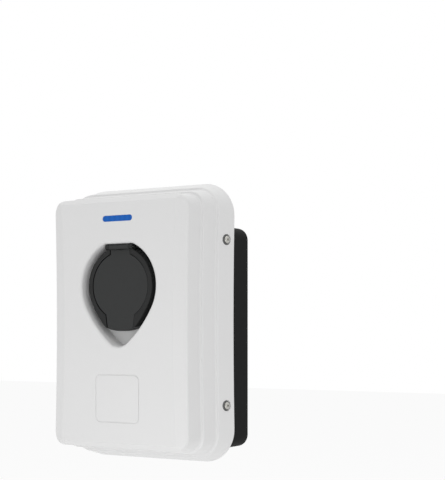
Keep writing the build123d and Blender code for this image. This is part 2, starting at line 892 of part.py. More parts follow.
def make_power_relay(index):
    """Sealed power relay with a raised lid edge."""
    place = Pos(relay_left + index * relay_pitch, -relay_drop)
    body = on_board(place, Rectangle(relay_width, relay_height), relay_depth)
    body = fillet(body.faces().sort_by(Axis.Y)[0].edges(), relay_round)
    return fillet(body.edges().filter_by(Axis.Y), relay_round / 2)


def make_current_sensor():
    """Ring core for residual current, standing on a foot, its bore upright."""
    front_y = board_depth(True) - unit_depth
    centre = (sensor_x, front_y - sensor_foot - sensor_radius, -board_drop - sensor_drop)
    plane = Plane(origin=centre, z_dir=(0, 0, 1), x_dir=(1, 0, 0))
    body = extrude(plane * Circle(sensor_radius), amount=sensor_width / 2, both=True)
    body = fillet(body.edges(), relay_round)
    foot = Rectangle(sensor_radius * 4 / 3, sensor_width)
    body += on_board(Pos(sensor_x, -sensor_drop), foot, sensor_foot * 2)
    return body - extrude(plane * Circle(sensor_bore), amount=sensor_width, both=True)


def make_power_supply():
    """Sealed supply module of the control electronics."""
    body = on_board(Pos(module_x, module_rise), Rectangle(module_width, module_height), module_depth)
    body = fillet(body.edges().filter_by(Axis.Y), relay_round)
    return chamfer(body.faces().sort_by(Axis.Y)[0].edges(), relay_round / 2)


def make_capacitor(index):
    """Upright can capacitor with a crimped foot."""
    rise = capacitor_rise + row_places(capacitor_count, capacitor_pitch)[index]
    place = Pos(capacitor_x, rise)
    body = on_board(place, Circle(capacitor_radius), capacitor_height)
    body = fillet(body.faces().sort_by(Axis.Y)[0].edges(), capacitor_round)
    front = board_depth(True)
    crimp = place * ring(capacitor_radius + overrun, capacitor_radius - capacitor_round / 2)
    return body - block(power_plane(front - capacitor_round * 4), crimp, capacitor_round * 2)


def make_surge_discs():
    """The three surge discs that stand edge-on above the terminal block."""
    solids = []
    for x in row_places(varistor_count, varistor_pitch):
        depth = board_depth(True) - varistor_leg - varistor_radius
        origin = (x, depth - unit_depth, -board_drop - varistor_drop)
        plane = Plane(origin=origin, z_dir=(0, 0, 1), x_dir=(1, 0, 0))
        disc = extrude(plane * Circle(varistor_radius), amount=varistor_thickness / 2, both=True)
        disc = fillet(disc.edges(), varistor_thickness / 4)
        legs = Rectangle(varistor_radius, varistor_thickness / 4)
        solids.append(disc + on_board(Pos(x, -varistor_drop), legs, varistor_leg * 2))
    return Compound(solids)


def control_depth(front):
    """Depth of the control board's front or back face."""
    back = board_depth(True) - pillar_length
    return back - board_thickness if front else back


def control_plane(depth):
    """Upright plane at a depth, centred on the control board."""
    return power_plane(depth) * Pos(0, -control_drop)


def pillar_places():
    """The four pillars under the control board."""
    span_x = control_width - 2 * board_margin
    span_z = control_height - 2 * board_margin
    return grid_of_four(span_x, span_z)


def make_board_pillars():
    """The four hexagonal brass pillars between the two boards."""
    solids = []
    for place in pillar_places():
        hexagon = place * RegularPolygon(pillar_radius, 6)
        pillar = block(control_plane(control_depth(False)), hexagon, pillar_length)
        bore = place * Circle(small_screw_radius)
        solids.append(pillar - block(control_plane(control_depth(False)), bore, small_screw_length))
    return Compound(solids)


def make_control_board():
    """Control circuit board with four screw holes."""
    face = RectangleRounded(control_width, control_height, board_corner)
    body = block(control_plane(control_depth(True)), face, board_thickness)
    for place in pillar_places():
        hole = place * Circle(small_screw_radius + moving_gap)
        body -= block(control_plane(control_depth(True) - overrun), hole, board_thickness + 2 * overrun)
    return body


def make_pillar_screws():
    """The four screws that hold the control board on its pillars."""
    length = small_screw_length - board_thickness
    plane = control_plane(control_depth(True))
    return Compound([plane * place * pan_screw(length) for place in pillar_places()])


def on_control(place, face, depth):
    """Body that stands on the front of the control board."""
    return block(control_plane(control_depth(True) - depth), place * face, depth)


def make_radio_module():
    """Radio module under a shielding can."""
    body = on_control(Pos(radio_x, 0), Rectangle(radio_width, radio_height), board_thickness / 2)
    can = Rectangle(radio_width - radio_depth / 2, radio_height * 2 / 3)
    body += on_control(Pos(radio_x, -radio_height / 8), can, radio_depth)
    return fillet(body.faces().sort_by(Axis.Y)[0].edges(), board_thickness / 4)


def make_control_header():
    """Shrouded plug header for the front boards' wiring."""
    body = on_control(Pos(header_x, 0), Rectangle(header_width, header_height), header_depth)
    hollow = Rectangle(header_width - 2 * header_wall, header_height - 2 * header_wall)
    start = control_plane(control_depth(True) - header_depth - overrun)
    return body - block(start, Pos(header_x, 0) * hollow, header_depth * 2 / 3 + overrun)


def make_current_selector():
    """Body of the rotary switch that sets the charging current."""
    body = on_control(Pos(selector_x, 0), Rectangle(selector_width, selector_width), selector_depth)
    body = chamfer(body.edges().filter_by(Axis.Y), relay_round / 2)
    start = control_plane(control_depth(True) - selector_depth - overrun)
    well = Circle(rotor_radius + lock_pin_gap)
    body -= block(start, Pos(selector_x, 0) * well, overrun + rotor_depth)
    stem = Circle(rotor_stem_radius + fit_gap)
    return body - block(start, Pos(selector_x, 0) * stem, overrun + selector_depth - board_thickness)


def make_selector_rotor():
    """Slotted rotor of the rotary switch."""
    start = control_plane(control_depth(True) - selector_depth)
    body = block(start, Pos(selector_x, 0) * Circle(rotor_radius), rotor_depth - lock_pin_gap)
    slot = Pos(selector_x, rotor_radius / 3) * Rectangle(rotor_slot, rotor_radius * 2)
    before = control_plane(control_depth(True) - selector_depth - overrun)
    body -= block(before, slot, overrun + rotor_depth / 2)
    length = selector_depth - board_thickness - moving_gap
    return body + block(start, Pos(selector_x, 0) * Circle(rotor_stem_radius), length)


def peg_board(depth, width, height, rise, places):
    """Small board behind the front with a hole for each peg's tip."""
    face = Pos(0, rise) * RectangleRounded(width, height, board_corner / 2)
    body = block(front_plane(depth), face, small_board_thickness)
    for place in places:
        hole = place * Circle(peg_tip_radius + fit_gap)
        body -= block(front_plane(depth - overrun), hole, small_board_thickness + 2 * overrun)
    return body


def make_reader_board():
    """Reader board with its flat antenna coil, behind the reader field."""
    depth = cover_wall + reader_peg_length
    places = reader_peg_places()
    body = peg_board(depth, reader_board_width, reader_board_height, reader_rise, places)
    for turn in range(coil_count):
        width = reader_board_width - 4 * peg_margin - 2 * turn * coil_pitch
        height = reader_board_height - 4 * peg_margin - 2 * turn * coil_pitch
        outer = RectangleRounded(width, height, coil_pitch)
        inner = RectangleRounded(width - 2 * coil_line, height - 2 * coil_line, coil_pitch / 2)
        body += block(front_plane(depth - coil_height), Pos(0, reader_rise) * (outer - inner), coil_height)
    return body


def make_light_board():
    """Board with a row of lamps behind the light pipe."""
    depth = cover_wall + light_peg_length
    body = peg_board(depth, light_board_width, light_board_height, light_rise, light_peg_places())
    pitch = light_width / (lamp_count + 1)
    for x in row_places(lamp_count, pitch):
        face = Pos(x, light_rise) * Rectangle(lamp_size, lamp_size)
        body += block(front_plane(depth - lamp_height), face, lamp_height)
    return body


def make_light_pipe():
    """Translucent bar that fills the slot in the front, with a flange behind it."""
    outline = SlotOverall(light_width - 2 * light_gap, light_height - 2 * light_gap)
    depth = cover_wall - light_sink
    body = block(front_plane(light_sink), Pos(0, light_rise) * outline, depth)
    body = fillet(body.faces().sort_by(Axis.Y)[0].edges(), light_sink)
    grow = 2 * light_flange
    flange = SlotOverall(light_width + grow, light_height + grow)
    return body + block(front_plane(cover_wall), Pos(0, light_rise) * flange, light_flange_thickness)


def socket_screw_places():
    """The four screws that hold the socket housing to the cover."""
    turns = [socket_screw_angle + quarter * 90 for quarter in range(4)]
    return [Rot(0, 0, turn) * Pos(socket_screw_circle, 0) for turn in turns]


def lid_face(grow):
    """Outline of the lid: a disc, a neck up to the hinge and a tab below, grown outwards."""
    disc = Circle(lid_radius + grow)
    neck = Pos(0, hinge_rise / 2) * Rectangle(lid_neck_width + 2 * grow, hinge_rise)
    top, bottom = lid_tab_top_width / 2 + grow, lid_tab_bottom_width / 2 + grow
    low = bezel_bottom_radius + overrun
    tab = make_face(Polyline(
        (-top, -lid_tab_start), (top, -lid_tab_start), (bottom, -low), (-bottom, -low), close=True
    ))
    return disc + neck + (tab & Circle(bezel_bottom_radius))


def hinge_plane(x):
    """Plane across the hinge axis at a distance from the middle, facing +X."""
    height = cover_rise + socket_rise + hinge_rise
    origin = (x, hinge_depth - unit_depth, height)
    return Plane(origin=origin, x_dir=(0, 1, 0), z_dir=(1, 0, 0))


def hinge_bar(start, end, radius):
    """Round bar along the hinge axis between two places."""
    return extrude(hinge_plane(start) * Circle(radius), amount=end - start)


def d_face(radius, flat):
    """Disc with a flat on top, the section of the plug."""
    low = -radius - overrun
    keep = Pos(0, (flat + low) / 2) * Rectangle(2 * radius + overrun, flat - low)
    return Circle(radius) & keep


def make_socket_housing():
    """Black bezel with the lid's seat and hinge ears, and the sleeve that takes the plug."""
    body = pocket_solid(bezel_depth, bezel_back_depth, bezel_flat_inset, bezel_back_inset)
    reach = bezel_back_depth - bezel_depth
    body &= block(socket_plane(bezel_depth), Circle(bezel_bottom_radius), reach)
    bar_half = lid_neck_width / 2 + ear_side_gap + ear_width
    low = bezel_top - ear_width * 3
    bar = Pos(0, (bezel_top + low) / 2) * Rectangle(2 * bar_half, bezel_top - low)
    body += block(socket_plane(bezel_depth), bar, reach)
    for side in (-1, 1):
        ear = hinge_bar(side * bar_half, side * (bar_half - ear_width), knuckle_radius)
        body += ear
    body += block(socket_plane(bezel_depth), Circle(sleeve_outer_radius), sleeve_end_depth - bezel_depth)
    body -= block(socket_plane(bezel_depth - overrun), lid_face(lid_gap), land_depth - bezel_depth + overrun)
    inner_half = lid_neck_width / 2 + ear_side_gap
    body -= hinge_bar(-inner_half, inner_half, knuckle_radius + ear_side_gap)
    body -= spring_anchor_slot()
    notch_low = bezel_bottom_radius + overrun
    notch = Pos(0, -(notch_low + sleeve_outer_radius) / 2) * Rectangle(
        notch_width, notch_low - sleeve_outer_radius
    )
    notch -= Circle(sleeve_outer_radius)
    body -= block(socket_plane(bezel_depth - overrun), notch, notch_depth - bezel_depth + overrun)
    body -= block(socket_plane(0), d_face(sleeve_inner_radius, sleeve_flat), carrier_depth)
    body -= block(socket_plane(carrier_depth), Circle(carrier_radius + fit_gap), pocket_radius)
    body -= hinge_bar(-bar_half - overrun, bar_half + overrun, hinge_pin_radius + fit_gap)
    for place in socket_screw_places():
        hole = place * Circle(socket_screw_radius)
        body -= block(socket_plane(bezel_back_depth - socket_screw_bite), hole, pocket_radius)
    body -= extrude(lock_plane(0) * Circle(lock_pin_radius + lock_pin_gap), amount=pocket_radius)
    drain = Plane(
        origin=(0, carrier_depth - 2 * drain_radius - unit_depth, cover_rise + socket_rise),
        z_dir=(0, 0, -1), x_dir=(1, 0, 0),
    )
    return body - extrude(drain * Circle(drain_radius), amount=pocket_radius)


def lock_screw_places():
    """The two screws of the lock's body, on the cover's bosses."""
    x = lock_body_x + lock_flange_width / 2
    return [Pos(x, lock_rise + side * lock_screw_spacing / 2) for side in (-1, 1)]


def lock_plane(x):
    """Plane across the lock pin's axis at a distance from the middle, facing +X."""
    height = cover_rise + socket_rise + lock_rise
    return Plane(origin=(x, lock_depth - unit_depth, height), x_dir=(0, 1, 0), z_dir=(1, 0, 0))


def make_socket_gasket():
    """Flat gasket between the bezel and the floor of the recess."""
    face = ring(gasket_outer_radius, sleeve_outer_radius + floor_hole_gap)
    for place in socket_screw_places():
        face -= place * Circle(socket_screw_radius + moving_gap)
    return block(socket_plane(bezel_back_depth), face, gasket_thickness)


def rear_plane(depth):
    """Upright plane at a depth, seen from the wall side, centred on the socket."""
    height = cover_rise + socket_rise
    return Plane(origin=(0, depth - unit_depth, height), x_dir=(-1, 0, 0), z_dir=(0, 1, 0))


def make_socket_screws():
    """The four screws that hold the socket housing from behind the recess floor."""
    start = pocket_depth + pocket_floor
    length = start - bezel_back_depth + socket_screw_bite - fit_gap
    screw = pan_screw(length, socket_screw_radius, socket_screw_head_radius)
    return Compound([rear_plane(start) * place * screw for place in socket_screw_places()])


def contact_places():
    """The seven contacts by name: five for power and two for signals, on one hexagon."""
    names = ["neutral", "signal_left", "signal_right", "line_1", "line_2", "line_3"]
    turns = [180, 120, 60, 0, -60, -120]
    places = {
        name: Rot(0, 0, turn) * Pos(contact_pitch, 0) for name, turn in zip(names, turns)
    }
    places["earth"] = Pos(0, 0)
    return places


def contact_radii(name):
    """Bore and outer radius of a contact sleeve."""
    if name.startswith("signal"):
        return signal_bore_radius, signal_bore_radius + signal_wall
    return power_bore_radius, power_bore_radius + power_wall


def insert_screw_places():
    """The two screws that hold the insert on its carrier plate, above and below the middle."""
    return [Pos(0, side * contact_pitch) for side in (-1, 1)]


def make_contact_insert():
    """Insulating core of the socket with seven passages and two blind screw holes behind."""
    depth = carrier_depth - insert_front_depth
    body = block(socket_plane(insert_front_depth), d_face(insert_radius_d, insert_flat), depth)
    body = chamfer(body.faces().sort_by(Axis.Y)[0].edges(), lid_round)
    for name, place in contact_places().items():
        bore, outer = contact_radii(name)
        entry = place * Circle(bore + contact_lead_in_gap)
        body -= block(socket_plane(0), entry, insert_front_depth + contact_lead_in)
        passage = place * Circle(outer + fit_gap)
        body -= block(socket_plane(insert_front_depth + contact_lead_in), passage, pocket_radius)
    for place in insert_screw_places():
        hole = place * Circle(insert_screw_radius)
        body -= block(socket_plane(carrier_depth - insert_screw_length), hole, pocket_radius)
    return body


def make_contact_carrier_plate():
    """Round plate behind the insert: it closes the plug's space and backs the contacts' shoulders."""
    body = block(socket_plane(carrier_depth), Circle(carrier_radius), carrier_thickness)
    before = socket_plane(carrier_depth - overrun)
    for name, place in contact_places().items():
        tail = contact_radii(name)[1] * contact_tail_share
        body -= block(before, place * Circle(tail + fit_gap), carrier_thickness + 2 * overrun)
    for place in insert_screw_places():
        hole = place * Circle(insert_screw_radius + moving_gap)
        body -= block(before, hole, carrier_thickness + 2 * overrun)
    return body


def make_insert_screws():
    """The two screws that hold the insert on its carrier plate."""
    start = carrier_depth + carrier_thickness
    length = carrier_thickness + insert_screw_length - fit_gap
    screw = pan_screw(length, insert_screw_radius, insert_screw_head_radius)
    return Compound([rear_plane(start) * place * screw for place in insert_screw_places()])


def make_contact(name):
    """Turned contact: an open sleeve in front and a solid tail behind."""
    place = contact_places()[name]
    bore, outer = contact_radii(name)
    start = insert_front_depth + contact_lead_in
    body = block(socket_plane(start), place * Circle(outer), carrier_depth - start)
    tail = place * Circle(outer * contact_tail_share)
    body += block(socket_plane(carrier_depth), tail, contact_end_depth - carrier_depth)
    body -= block(socket_plane(start - overrun), place * Circle(bore), contact_bore_length + overrun)
    return body


def make_retaining_ring():
    """Push-in ring behind the carrier plate."""
    face = ring(carrier_radius, carrier_radius - ring_width)
    return block(socket_plane(carrier_depth + carrier_thickness), face, ring_thickness)


def spring_anchor_slot():
    """Slot in the bezel that takes the spring's fixed leg."""
    half = spring_length / 2
    start = hinge_plane(half - spring_slot_width / 2)
    reach = spring_anchor + spring_wire_radius
    slot = Pos(reach / 2, -spring_coil_radius) * Rectangle(reach, spring_slot_width)
    return extrude(start * slot, amount=spring_slot_width)


def make_lid():
    """Black lid: a disc with a finger tab below and a hinge barrel above."""
    body = block(socket_plane(lid_depth), lid_face(0), lid_thickness)
    body = fillet(body.faces().sort_by(Axis.Y)[0].edges(), lid_round)
    half = lid_neck_width / 2
    body += hinge_bar(-half, half, knuckle_radius)
    body -= hinge_bar(-half - overrun, half + overrun, hinge_pin_radius + fit_gap)
    space = spring_space_width / 2
    body -= hinge_bar(-space, space, spring_space_radius)
    room = knuckle_radius + ear_side_gap
    deep = lid_depth + lid_thickness - hinge_depth + overrun
    window = Pos(deep / 2, 0) * Rectangle(deep, 2 * room)
    body -= extrude(hinge_plane(-space) * window, amount=spring_space_width)
    groove = hinge_plane(-spring_length / 2 - spring_slot_width / 2)
    low = spring_leg + spring_wire_radius
    start = spring_coil_radius - spring_slot_width / 2
    leg_room = Pos(start + room / 2, -low / 2) * Rectangle(room, low)
    body -= extrude(groove * leg_room, amount=spring_slot_width)
    seat = ring(lid_seal_radius, lid_seal_radius - lid_seal_width)
    back = lid_depth + lid_thickness
    return body - block(socket_plane(back - lid_seal_groove), seat, overrun)


def make_lid_seal():
    """Soft ring in the groove of the lid's back."""
    start = lid_depth + lid_thickness - lid_seal_groove
    face = ring(lid_seal_radius - fit_gap, lid_seal_radius - lid_seal_width + fit_gap)
    return block(socket_plane(start), face, land_depth - moving_gap - start)


def make_hinge_pin():
    """Stainless pin through the lid's barrel and the bezel's ears."""
    half = hinge_pin_length / 2
    body = hinge_bar(-half, half, hinge_pin_radius)
    return chamfer(body.edges(), hinge_pin_radius / 4)


def make_lid_spring():
    """Closing spring: a coil round the pin, one leg on the lid and one in the bezel."""
    plane = hinge_plane(-spring_length / 2)
    path = plane * Helix(spring_length / spring_turns, spring_length, spring_coil_radius)
    wire = Circle(spring_wire_radius)
    body = sweep(Plane(origin=path @ 0, z_dir=path % 0) * wire, path=path, is_frenet=True)
    for origin, way, length in (
        (path @ 0, Vector(0, 0, -1), spring_leg),
        (path @ 1, Vector(0, 1, 0), spring_anchor),
    ):
        start = Plane(origin=origin - way * spring_wire_radius * 2, z_dir=way)
        leg = start * Circle(spring_wire_radius * spring_leg_share)
        body += extrude(leg, amount=length + spring_wire_radius * 2)
    return body


def make_lock_body():
    """Housing of the plug lock, screwed to two bosses behind the cover."""
    plane = lock_plane(lock_body_x)
    body = extrude(plane * Rectangle(lock_body_depth, lock_body_height), amount=lock_body_length)
    body = fillet(body.edges().filter_by(Axis.X), lock_round)
    body += extrude(plane * Circle(lock_nose_radius), amount=-lock_nose_length)
    front = lock_depth - lock_body_depth / 2
    middle = Pos(lock_body_x + lock_flange_width / 2, lock_rise)
    flange = middle * RectangleRounded(lock_flange_width, lock_flange_height, board_corner)
    for place in lock_screw_places():
        flange -= place * Circle(small_screw_radius + moving_gap)
    body += block(socket_plane(front), flange, lock_flange_thickness)
    reach = lock_tip_x + lock_pin_length + lock_pin_room
    return body - extrude(lock_plane(0) * Circle(lock_pin_radius + lock_pin_gap), amount=reach)


def make_lock_pin():
    """Sliding pin that holds the plug, drawn back into the sleeve's wall."""
    body = extrude(lock_plane(lock_tip_x) * Circle(lock_pin_radius), amount=lock_pin_length)
    return chamfer(body.edges(), lock_pin_radius / 6)


def make_lock_screws():
    """The two screws of the lock's body."""
    start = lock_depth - lock_body_depth / 2 + lock_flange_thickness
    length = small_screw_length + lock_flange_thickness - fit_gap
    solids = []
    for place in lock_screw_places():
        x, z = place.position.X, place.position.Y
        solids.append(rear_plane(start) * Pos(-x, z) * pan_screw(length))
    return Compound(solids)


def make_socket_leads():
    """The five insulated leads from the power contacts down to the power board."""
    solids = []
    room = board_depth(True) - contact_end_depth
    back = contact_end_depth + room * lead_back_share
    foot = -board_drop - lead_foot_drop - cover_rise - socket_rise
    for name, place in contact_places().items():
        if name.startswith("signal"):
            continue
        x, z = place.position.X, place.position.Y
        route = [(contact_end_depth, z), (back, z), (back, foot), (board_depth(True), foot)]
        height = cover_rise + socket_rise
        points = [(x, depth - unit_depth, height + up) for depth, up in route]
        path = FilletPolyline(*points, radius=room * lead_bend_share)
        section = Plane(origin=path @ 0, z_dir=path % 0) * Circle(lead_radius)
        solids.append(sweep(section, path=path))
    return Compound(solids)


def all_parts():
    """Every node by its name."""
    parts = {
        "front_cover": make_front_cover(),
        "base_housing": make_base_housing(),
        "cover_seal": make_cover_seal(),
        "cover_screws": make_cover_screws(),
        "cover_screw_washers": make_cover_screw_washers(),
        "cover_screw_inserts": make_cover_screw_inserts(),
        "supply_grommet": make_supply_grommet(),
        "blanking_plug": make_blanking_plug(),
        "vent_plug": make_vent_plug(),
        "power_board": make_power_board(),
        "board_screws": make_board_screws(),
        "supply_terminal": make_supply_terminal(),
        "terminal_screws": make_terminal_screws(),
        "current_sensor": make_current_sensor(),
        "power_supply_module": make_power_supply(),
        "surge_discs": make_surge_discs(),
        "board_pillars": make_board_pillars(),
        "control_board": make_control_board(),
        "pillar_screws": make_pillar_screws(),
        "radio_module": make_radio_module(),
        "control_header": make_control_header(),
        "current_selector": make_current_selector(),
        "selector_rotor": make_selector_rotor(),
        "reader_board": make_reader_board(),
        "light_board": make_light_board(),
        "light_pipe": make_light_pipe(),
        "socket_housing": make_socket_housing(),
        "socket_gasket": make_socket_gasket(),
        "socket_screws": make_socket_screws(),
        "contact_insert": make_contact_insert(),
        "contact_carrier_plate": make_contact_carrier_plate(),
        "insert_screws": make_insert_screws(),
        "retaining_ring": make_retaining_ring(),
        "lid": make_lid(),
        "lid_seal": make_lid_seal(),
        "hinge_pin": make_hinge_pin(),
        "lid_spring": make_lid_spring(),
        "lock_body": make_lock_body(),
        "lock_pin": make_lock_pin(),
        "lock_screws": make_lock_screws(),
        "socket_leads": make_socket_leads(),
    }
    for index in range(relay_count):
        parts[f"power_relay_{index + 1}"] = make_power_relay(index)
    for index in range(capacitor_count):
        parts[f"capacitor_{index + 1}"] = make_capacitor(index)
    for name in contact_places():
        parts[f"contact_{name}"] = make_contact(name)
    return parts


for node, solid in all_parts().items():
    export_step(solid, f"parts/{node}.step")
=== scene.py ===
"""Looks of a wall-mounted charging unit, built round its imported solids."""

import logging
import math
from abc import ABC, abstractmethod
from dataclasses import dataclass, field
from enum import Enum

import bmesh
import bpy
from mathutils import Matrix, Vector


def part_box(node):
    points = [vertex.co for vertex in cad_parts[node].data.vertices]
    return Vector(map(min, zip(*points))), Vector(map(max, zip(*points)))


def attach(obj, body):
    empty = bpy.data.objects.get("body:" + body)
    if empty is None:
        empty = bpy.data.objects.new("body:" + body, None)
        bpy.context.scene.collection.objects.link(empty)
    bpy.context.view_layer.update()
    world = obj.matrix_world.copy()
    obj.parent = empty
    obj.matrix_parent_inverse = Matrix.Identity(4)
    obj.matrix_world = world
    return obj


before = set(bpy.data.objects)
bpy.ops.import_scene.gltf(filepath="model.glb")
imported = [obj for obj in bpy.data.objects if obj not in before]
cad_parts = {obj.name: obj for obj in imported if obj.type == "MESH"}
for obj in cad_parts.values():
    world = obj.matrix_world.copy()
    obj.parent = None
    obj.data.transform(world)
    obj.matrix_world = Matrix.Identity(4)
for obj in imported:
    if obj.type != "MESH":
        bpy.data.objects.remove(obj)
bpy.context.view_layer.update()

LOG = logging.getLogger("charging_unit")

MM = 0.001
PURE_WHITE = "#FFFFFF"
BEVEL_SAMPLES = 4  # rays that find a rounded edge's direction
MIX_SHARE, MIX_FIRST, MIX_SECOND = 0, 6, 7  # numbers of a colour mix's inputs
MIX_RESULT = 2  # and of its output
STEP_SEGMENTS = 2  # the two sides of the step along a small part's edges
STEP_PROFILE = 0.0  # bevel profile that cuts a square step
TINNED = 1  # number of the tinned metal among a small part's materials; its body's is 0
CORNERS = ((-1, -1), (1, -1), (1, 1), (-1, 1))  # round a rectangle, as shares of its half sides

Colour = tuple[float, float, float, float]


def linear(hex_colour: str) -> Colour:
    """Turn an sRGB hex colour into the linear colour that shaders use.

    Args:
        hex_colour: six hex digits after a hash sign.

    Returns:
        Linear red, green, blue and an alpha of one.
    """
    channels = [int(hex_colour[i:i + 2], 16) / 255 for i in (1, 3, 5)]
    # The numbers are those of the sRGB curve: a short straight start, then a power.
    parts = [c / 12.92 if c <= 0.04045 else ((c + 0.055) / 1.055) ** 2.4 for c in channels]
    return parts[0], parts[1], parts[2], 1.0


def pattern_scale(size_mm: float) -> float:
    """Scale of a noise whose features are a real size across, in object space in metres."""
    return 1 / (size_mm * MM)


class Lay(Enum):
    """Direction in which a metal was worked, as the stretch of its marks along X, Y and Z."""

    TURNED = (1.0, 8.0, 1.0)
    DRAWN = (8.0, 1.0, 1.0)
    STAMPED = (1.0, 1.0, 1.0)


class Texture(Enum):
    """How busy a noise is: how many finer layers it has, and how strong each of them is."""

    CLOUDS = (3.0, 0.6)
    PATCHES = (4.0, 0.5)
    GRAIN = (2.0, 0.55)
    SKIN = (2.0, 0.5)
    SCRATCHES = (5.0, 0.7)


def add_node(
    tree: bpy.types.NodeTree,
    kind: str,
    settings: dict[str | int, object] | None = None,
    links: dict[str | int, bpy.types.NodeSocket] | None = None,
) -> bpy.types.Node:
    """Add a shader node with its settings and links.

    Args:
        tree: the material's node tree.
        kind: Blender's identifier of the node, without its "ShaderNode" prefix.
        settings: values by the name of a property, or by the name or number of an input.
        links: output sockets by the name or number of the input that takes them.

    Returns:
        The new node.
    """
    node = tree.nodes.new("ShaderNode" + kind)
    for key, value in (settings or {}).items():
        if isinstance(key, int) or key in node.inputs:
            node.inputs[key].default_value = value
        else:
            setattr(node, key, value)
    for key, socket in (links or {}).items():
        tree.links.new(socket, node.inputs[key])
    return node


def add_noise(
    tree: bpy.types.NodeTree, place: bpy.types.NodeSocket, size_mm: float, texture: Texture,
) -> bpy.types.NodeSocket:
    """Add a noise whose features are a real size across.

    Args:
        tree: the material's node tree.
        place: where the noise is looked up, in metres.
        size_mm: how large its features are.
        texture: how busy it is.

    Returns:
        The noise, from nought to one.
    """
    detail, roughness = texture.value
    return add_node(tree, "TexNoise", {
        "Scale": pattern_scale(size_mm), "Detail": detail, "Roughness": roughness,
    }, {"Vector": place}).outputs[0]


def calculate(
    tree: bpy.types.NodeTree, operation: str, first: bpy.types.NodeSocket,
    second: bpy.types.NodeSocket | float | None = None,
) -> bpy.types.NodeSocket:
    """Work out one step of arithmetic.

    Args:
        tree: the material's node tree.
        operation: Blender's name of the step.
        first: the value that it starts from.
        second: another value or a number, where the step takes two.

    Returns:
        The result.
    """
    settings, links = {"operation": operation}, {0: first}
    if isinstance(second, bpy.types.NodeSocket):
        links[1] = second
    elif second is not None:
        settings[1] = second
    return add_node(tree, "Math", settings, links).outputs[0]


def blend(
    tree: bpy.types.NodeTree, share: bpy.types.NodeSocket, first: bpy.types.NodeSocket | str,
    second: str,
) -> bpy.types.NodeSocket:
    """Blend two colours.

    Args:
        tree: the material's node tree.
        share: how much of the second colour shows, from nought to one.
        first: an sRGB hex colour, or a colour that the material works out.
        second: the sRGB hex colour that goes over it.

    Returns:
        The blended colour.
    """
    settings, links = {"data_type": "RGBA", MIX_SECOND: linear(second)}, {MIX_SHARE: share}
    if isinstance(first, bpy.types.NodeSocket):
        links[MIX_FIRST] = first
    else:
        settings[MIX_FIRST] = linear(first)
    return add_node(tree, "Mix", settings, links).outputs[MIX_RESULT]


def spread(
    tree: bpy.types.NodeTree, value: bpy.types.NodeSocket, low: float, high: float,
    start: float = 0.0, end: float = 1.0,
) -> bpy.types.NodeSocket:
    """Turn a value that runs from start to end into one that runs from low to high.

    Args:
        tree: the material's node tree.
        value: the value to turn.
        low: what it becomes at start.
        high: what it becomes at end.
        start: first end of the value's own range.
        end: other end of that range.

    Returns:
        The new value.
    """
    return add_node(tree, "MapRange", {
        "From Min": start, "From Max": end, "To Min": low, "To Max": high,
    }, {"Value": value}).outputs[0]


def emboss(
    tree: bpy.types.NodeTree, shader: bpy.types.Node, height: bpy.types.NodeSocket,
    depth_mm: float, strength: float, ground: bpy.types.NodeSocket | None = None,
) -> None:
    """Give a shader a fine relief.

    Args:
        tree: the material's node tree.
        shader: the shader that shows it.
        height: the relief, from nought to one.
        depth_mm: how deep it is.
        strength: how much of it the light sees.
        ground: the surface direction that it lies on, or none for the mesh's own.
    """
    links = {"Height": height}
    if ground is not None:
        links["Normal"] = ground
    bump = add_node(tree, "Bump", {"Strength": strength, "Distance": depth_mm * MM}, links)
    tree.links.new(bump.outputs[0], shader.inputs["Normal"])


@dataclass(frozen=True)
class Finish(ABC):
    """A real material and the way its surface answers light."""

    name: str
    colour: str
    roughness: float
    ior: float = 1.5
    metallic: float = 0.0
    sheen_level: float = 0.5  # share of the mirror-like light that the surface keeps

    def start(
        self,
    ) -> tuple[bpy.types.Material, bpy.types.NodeTree, bpy.types.Node, bpy.types.NodeSocket]:
        """Make the material with its shader and its coordinates.

        Returns:
            The material, its node tree, the shader node and the object coordinates.
        """
        material = bpy.data.materials.new(self.name)
        material.use_nodes = True
        tree = material.node_tree
        tree.nodes.clear()
        shader = add_node(tree, "BsdfPrincipled", {
            "Base Color": linear(self.colour), "Roughness": self.roughness,
            "IOR": self.ior, "Metallic": self.metallic, "Specular IOR Level": self.sheen_level,
        })
        add_node(tree, "OutputMaterial", links={"Surface": shader.outputs["BSDF"]})
        material.diffuse_color = linear(self.colour)
        place = add_node(tree, "TexCoord").outputs["Object"]
        return material, tree, shader, place

    @abstractmethod
    def build(self) -> bpy.types.Material:
        """Build the material."""


